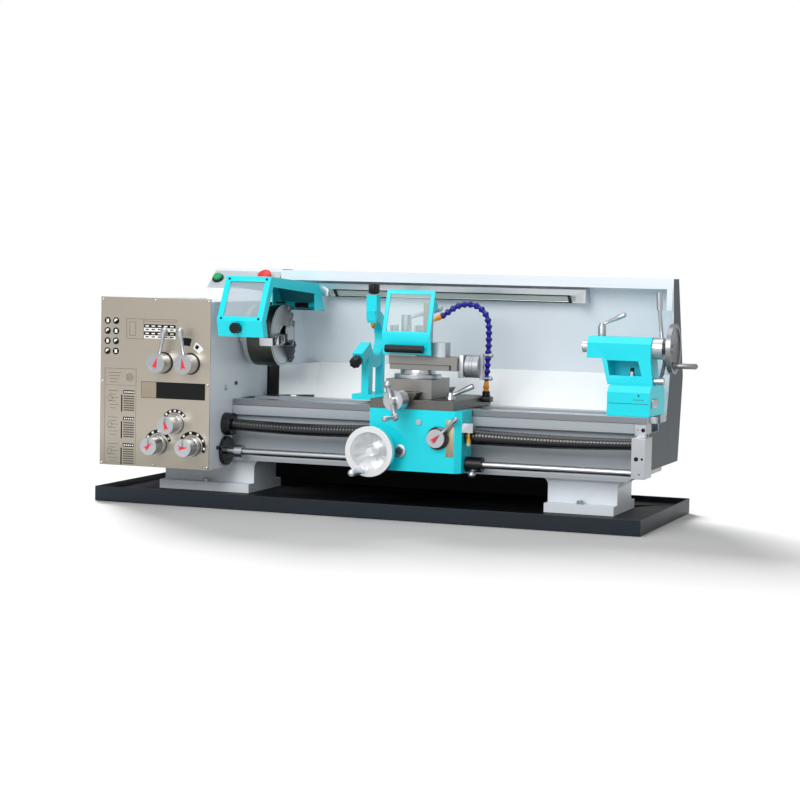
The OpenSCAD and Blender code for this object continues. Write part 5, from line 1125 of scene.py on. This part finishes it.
class LATHE_OT_top_slide(bpy.types.Operator):
    """Swivel base, top slide, its crank, the tool post and the tool guard"""

    bl_idname = "lathe.top_slide"
    bl_label = "Top slide and tool post"

    def execute(self, context):
        sizes = context.scene.lathe_sizes

        def ring_or_base(centre, normal, corners):
            return 1 if centre.z < 364.5 else 0

        def block_or_slide(centre, normal, corners):
            return 1 if 136 < centre.x < 178 and centre.z > 398.5 else 0

        dressed("swivel_base", ("slide_steel", "ring_steel"), None, ring_or_base)
        dressed("top_slide", ("slide_steel", "block_steel"), None, block_or_slide)
        dressed("compound_crank", ("dial_steel",))
        self.dial_details()
        dressed("tool_post", ("block_steel",))
        dressed("tool_post_lever", ("silver",))

        def bar_is_black(centre, normal, corners):
            return 1 if max(math.hypot(c.y + 171, c.z - 418.3) for c in corners) < 10.3 else 0

        dressed("tool_guard", ("teal_enamel", "black_plastic"), sizes.sheet_edge, bar_is_black)
        dressed("tool_guard_window", ("clear_sheet",), sizes.sheet_edge)
        return DONE

    def dial_details(self):
        """Bearing block behind the compound dial, and the dial's grooves and hub screw."""
        x0, y, z, r = DIAL
        bracket = Shape()
        bracket.block((x0, y - r, z - r), (x0 + 13, y + r, z + r), 0, 1.2)
        bracket.piece("compound_bracket", "compound", "dark_steel", ("block_steel",))
        marks = Shape()
        axis = towards((x0, y, z), RIGHT)
        # The dark rings stand for the grooves and the gap by the bearing block: painted shade
        for start, width in ((13.3, 2.7), (27, 0.9), (34, 0.9)):
            groove = band(r - 1, r + 0.08, start, start + width)
            marks.turned(axis, groove, 0, 64, ring=True)
        marks.turned(axis, band(0, 6, 57.8, 58.1), 0, 32)
        marks.turned(axis, [(0, 57.8), (3, 57.8), (3, 59), (2, 59.8), (0, 59.8)], 1, 24)
        marks.piece("compound_dial_marks", "compound_handle", "aluminium", ("seam_shadow", "silver"))


HOSE_ROUTE = (
    (0, 39), (1, 57), (2, 82), (3, 107), (4, 132), (4, 157), (3, 182), (-2, 204), (-14, 221),
    (-31, 232), (-51, 236), (-71, 234), (-89, 227), (-104, 217), (-117, 208), (-128, 202),
)
HOSE_FOOT = Vector((234, 48, 293))
BEAD_PROFILE = (
    (0, -1.15), (4.6, -1.15), (5.4, -0.75), (6.6, -0.4), (8.6, -0.05),
    (9.1, 0.25), (8.2, 0.5), (5.6, 0.8), (4.8, 1.15), (0, 1.15),
)
COUPLING_PROFILE = (
    (0, 14), (7, 14), (7, 22), (8.2, 24), (8.2, 28), (6.4, 31), (6.4, 38), (5.4, 41), (0, 41),
)
NOZZLE_PROFILE = (
    (0, -3), (6.6, -3), (7, 0), (7, 6), (5.8, 8), (5.4, 13), (4.2, 16), (3.5, 24), (2.4, 24), (2.4, 18),
    (0, 18),
)


def smooth_route(points, parts=12):
    """Points of a smooth curve through the given points."""
    result = []
    for i in range(len(points) - 1):
        a = points[max(i - 1, 0)]
        b, c = points[i], points[i + 1]
        d = points[min(i + 2, len(points) - 1)]
        for k in range(parts):
            t = k / parts
            square, cube = 2 * a - 5 * b + 4 * c - d, 3 * b - a - 3 * c + d
            result.append(0.5 * (2 * b + (c - a) * t + square * t ** 2 + cube * t ** 3))
    result.append(points[-1])
    return result


class LATHE_OT_coolant_hose(bpy.types.Operator):
    """Coolant hose of ball segments, with its socket and nozzle"""

    bl_idname = "lathe.coolant_hose"
    bl_label = "Coolant hose"

    def execute(self, context):
        pitch = context.scene.lathe_sizes.bead_pitch / MM
        route = smooth_route([HOSE_FOOT + Vector((x, 0, z)) for x, z in HOSE_ROUTE])
        reach = [0.0]
        for a, b in zip(route, route[1:]):
            reach.append(reach[-1] + (b - a).length)
        beads = round(reach[-1] / pitch)
        places = []
        for k in range(beads):
            want = reach[-1] * (k + 0.5) / beads
            i = next(j for j in range(1, len(reach)) if reach[j] >= want)
            t = (want - reach[i - 1]) / (reach[i] - reach[i - 1])
            places.append((route[i - 1].lerp(route[i], t), route[i] - route[i - 1]))
        half = reach[-1] / beads / 2
        profile = [(r, half * reach_part) for r, reach_part in BEAD_PROFILE]
        bead = Shape().turned(ORIGIN, profile, sides=20).mesh("bead")
        hose = placed_copies("coolant_beads", bead, places, "carriage", "hose_violet", "hose_bead")
        core = Shape().tube(route[::3] + [route[-1]], 5.4, 0, 12)
        core.piece("coolant_core", "carriage", "hose_violet", ("hose_bead",))
        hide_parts("coolant_hose")
        ends = Shape()
        foot = towards(HOSE_FOOT, UP)
        ends.block((227 - 20, 33, 280), (249, 63, 293), 2, 1.2)
        ends.turned(foot, [(0, -3), (10, -3), (10, 13), (8.6, 15), (0, 15)], 2, 32)
        ends.turned(foot, COUPLING_PROFILE, 1, 32)
        ahead = (route[-1] - route[-3]).normalized()
        ends.turned(towards(route[-1], ahead), NOZZLE_PROFILE, 1, 28)
        finishes = ("hose_bead", "hose_fitting", "black_plastic")
        ends.piece("coolant_ends", "carriage", "hose_violet", finishes)
        return DONE


REST_X = -62.0


class LATHE_OT_follow_rest(bpy.types.Operator):
    """Follow rest with its two fingers"""

    bl_idname = "lathe.follow_rest"
    bl_label = "Follow rest"

    def execute(self, context):
        dressed("follow_rest", ("teal_enamel",), context.scene.lathe_sizes.edge)
        screw = [(0, 27), (2.2, 27), (5.6, 33), (6, 36), (6, 118), (0, 118)]
        knob = [(0, 0), (9, 0), (12.8, 2), (13.7, 5), (13.7, 23), (12, 26.5), (6, 28), (0, 28)]
        centre = Vector((REST_X, 0, SPINDLE_Z))
        for side, angle in (("top", 90), ("front", 205)):
            turn = math.radians(angle)
            out = Vector((0, math.cos(turn), math.sin(turn)))
            finger = Shape()
            finger.turned(towards(centre, out), screw, 1, 32)
            finger.turned(towards(centre + out * 116, out), knob, 0, 84, lobes=7, lobe=0.08)
            node, finishes = "rest_finger_" + side, ("black_plastic", "brass")
            finger.piece(node + "_form", "finger_" + side, "black_plastic", finishes, (node,))
        return DONE


class LATHE_OT_tailstock(bpy.types.Operator):
    """Tailstock, quill, handwheel and levers"""

    bl_idname = "lathe.tailstock"
    bl_label = "Tailstock"

    def execute(self, context):
        def pick(centre, normal, corners):
            reach = max(math.hypot(c.y, c.z - SPINDLE_Z) for c in corners)
            return 1 if min(c.x for c in corners) > 682.9 and reach < 27.6 else 0

        dressed("tailstock_body", ("teal_enamel", "silver"), context.scene.lathe_sizes.edge, pick)
        dressed("quill", ("bright_steel",))
        dressed("tailstock_handwheel", ("tail_wheel_aluminium",), 0.001, None, 50, 3)
        dressed("quill_lock_lever", ("silver",))
        dressed("tailstock_cam_lever", ("silver",))
        trim = Shape()
        trim.turned(towards((666, -80, 320.7), FRONT), band(0, 2.6, 0, 0.2), 0, 20)
        trim.block((652, -80.25, 309.4), (680, -80, 310.6), 0)
        trim.block((590, -80.25, 299.6), (691, -80, 301), 0)
        trim.block((694, -58, 290), (698, -4, 310), 1, 0.6)
        bolt = towards((634, -20, 364.5), UP)
        trim.turned(bolt, [(0, 0), (7.5, 0), (7.5, 9), (4.4, 10), (4.4, 13), (0, 13)], 1, 6)
        trim.turned(bolt, [(0, 12), (5, 12), (5, 20), (4, 21.4), (0, 21.4)], 2, 24)
        finishes = ("seam_shadow", "silver", "black_plastic")
        trim.piece("tailstock_fittings", "tailstock", "teal_paint", finishes)
        return DONE


# Studio


CAMERA_PLACE = (1891.0, -5079.0, 641.5)
CAMERA_TURN = (20.26, -3.84, 1.20)
LENS = 94.44
FLOOR_Z = -0.001
FLOOR_GREY = 0.42
FLOOR_FADE = (1.4, 3.4)
SKY_LIGHT, SKY_SEEN = 0.62, 1.0
# Name, place, aim, width and power
LAMPS = (
    ("key_lamp", (-0.2, -4.6, 2.6), (0, 0, 0.3), 2.4, 155),
    ("fill_lamp", (3.0, -3.6, 2.0), (0, 0, 0.3), 2.0, 5),
    ("top_lamp", (0.0, 0.0, 3.4), (0, 0, 0.2), 2.6, 36),
)
SUN_RUN = (0.52, -0.65, -0.41)
SUN_POWER, SUN_ANGLE = 11, 26


def lamp(name, kind, power, run):
    """Lamp that shines along a direction."""
    data = bpy.data.lights.new(name, kind)
    data.energy = power
    made = bpy.data.objects.new(name, data)
    bpy.context.scene.collection.objects.link(made)
    made.rotation_euler = Vector(run).to_track_quat("-Z", "Y").to_euler()
    return made


class LATHE_OT_stage(bpy.types.Operator):
    """Floor, lamps, background and camera"""

    bl_idname = "lathe.stage"
    bl_label = "Studio"

    def execute(self, context):
        floor = self.floor(context.scene)
        self.background(context.scene)
        for name, place, aim, size, power in LAMPS:
            made = lamp(name, "AREA", power, Vector(aim) - Vector(place))
            made.data.size = size
            made.location = place
        sun = lamp("floor_sun", "SUN", SUN_POWER, SUN_RUN)
        sun.data.angle = math.radians(SUN_ANGLE)
        lit = bpy.data.collections.new("floor_light")
        lit.objects.link(floor)
        sun.light_linking.receiver_collection = lit
        self.camera(context.scene)
        context.scene.view_settings.view_transform = "Standard"
        return DONE

    def floor(self, scene):
        """Plain floor that fades out round the lathe."""
        half = scene.lathe_sizes.floor / 2
        corners = [(x * half, y * half, FLOOR_Z) for x, y in ((-1, -1), (1, -1), (1, 1), (-1, 1))]
        mesh = bpy.data.meshes.new("studio_floor")
        mesh.from_pydata(corners, [], [(0, 1, 2, 3)])
        floor = bpy.data.objects.new("studio_floor", mesh)
        scene.collection.objects.link(floor)
        material = bpy.data.materials.new("studio_floor")
        material.use_nodes = True
        tree = material.node_tree
        tree.nodes.clear()
        near, far = FLOOR_FADE
        grey = {"Color": (FLOOR_GREY, FLOOR_GREY, FLOOR_GREY, 1)}
        place = add_node(tree, "ShaderNodeTexCoord").outputs["Object"]
        reach = add_node(tree, "ShaderNodeVectorMath", {"operation": "LENGTH"}, {0: place})
        spread = {"Value": reach.outputs["Value"], "From Min": near, "From Max": far}
        fade = add_node(tree, "ShaderNodeMapRange", {"interpolation_type": "SMOOTHSTEP"}, spread)
        diffuse = add_node(tree, "ShaderNodeBsdfDiffuse", {}, grey)
        clear = add_node(tree, "ShaderNodeBsdfTransparent")
        parts = {0: fade.outputs["Result"], 1: diffuse.outputs[0], 2: clear.outputs[0]}
        blend = add_node(tree, "ShaderNodeMixShader", {}, parts)
        add_node(tree, "ShaderNodeOutputMaterial", {}, {"Surface": blend.outputs[0]})
        mesh.materials.append(material)
        return floor

    def background(self, scene):
        """White where it is seen, softer where it lights the lathe."""
        world = bpy.data.worlds.new("studio_light")
        scene.world = world
        world.use_nodes = True
        tree = world.node_tree
        tree.nodes.clear()
        path = add_node(tree, "ShaderNodeLightPath").outputs
        rays = {0: path["Is Camera Ray"], 1: path["Is Transmission Ray"]}
        seen = add_node(tree, "ShaderNodeMath", {"operation": "MAXIMUM"}, rays)
        levels = {"Value": seen.outputs[0], "To Min": SKY_LIGHT, "To Max": SKY_SEEN}
        blend = add_node(tree, "ShaderNodeMapRange", {}, levels)
        shine = {"Color": (1, 1, 1, 1), "Strength": blend.outputs["Result"]}
        light = add_node(tree, "ShaderNodeBackground", {}, shine)
        add_node(tree, "ShaderNodeOutputWorld", {}, {"Surface": light.outputs[0]})

    def camera(self, scene):
        """Camera at the photograph's place, by its yaw, pitch and roll in degrees."""
        yaw, pitch, roll = (math.radians(a) for a in CAMERA_TURN)
        flat = math.cos(pitch)
        ahead = Vector((-math.sin(yaw) * flat, math.cos(yaw) * flat, math.sin(pitch)))
        level = Vector((math.cos(yaw), math.sin(yaw), 0))
        rise = level.cross(ahead)
        side = level * math.cos(roll) + rise * math.sin(roll)
        top = rise * math.cos(roll) - level * math.sin(roll)
        data = bpy.data.cameras.new("photo_camera")
        data.sensor_width = 36
        data.lens = LENS
        data.clip_end = 200
        camera = bpy.data.objects.new("photo_camera", data)
        scene.collection.objects.link(camera)
        camera.matrix_world = on_axes(side, top, -ahead, Vector(CAMERA_PLACE) * MM)
        scene.camera = camera


STEPS = (
    LATHE_OT_finishes, LATHE_OT_tray, LATHE_OT_plinths, LATHE_OT_bed, LATHE_OT_headstock,
    LATHE_OT_front_panel, LATHE_OT_knobs, LATHE_OT_control_box, LATHE_OT_chuck, LATHE_OT_chuck_guard,
    LATHE_OT_splash_guard, LATHE_OT_work_light, LATHE_OT_rods, LATHE_OT_saddle, LATHE_OT_cross_slide,
    LATHE_OT_top_slide, LATHE_OT_coolant_hose, LATHE_OT_follow_rest, LATHE_OT_tailstock, LATHE_OT_stage,
)


class LATHE_PT_panel(bpy.types.Panel):
    """Lists the lathe's steps and settings"""

    bl_idname = "LATHE_PT_panel"
    bl_label = "Bench lathe"
    bl_space_type = "VIEW_3D"
    bl_region_type = "UI"
    bl_category = "Lathe"

    def draw(self, context):
        column = self.layout.column(align=True)
        for step in STEPS:
            column.operator(step.bl_idname)
        for group in (context.scene.lathe_colours, context.scene.lathe_sizes):
            for key in group.bl_rna.properties.keys():
                if key not in ("rna_type", "name"):
                    self.layout.prop(group, key)


CLASSES = (LatheColours, LatheSizes) + STEPS + (LATHE_PT_panel,)


def register():
    for cls in CLASSES:
        bpy.utils.register_class(cls)
    bpy.types.Scene.lathe_colours = bpy.props.PointerProperty(type=LatheColours)
    bpy.types.Scene.lathe_sizes = bpy.props.PointerProperty(type=LatheSizes)


def unregister():
    del bpy.types.Scene.lathe_sizes
    del bpy.types.Scene.lathe_colours
    for cls in reversed(CLASSES):
        bpy.utils.unregister_class(cls)


def main():
    register()
    for step in STEPS:
        group, name = step.bl_idname.split(".")
        getattr(getattr(bpy.ops, group), name)()


if __name__ == "__main__":
    main()
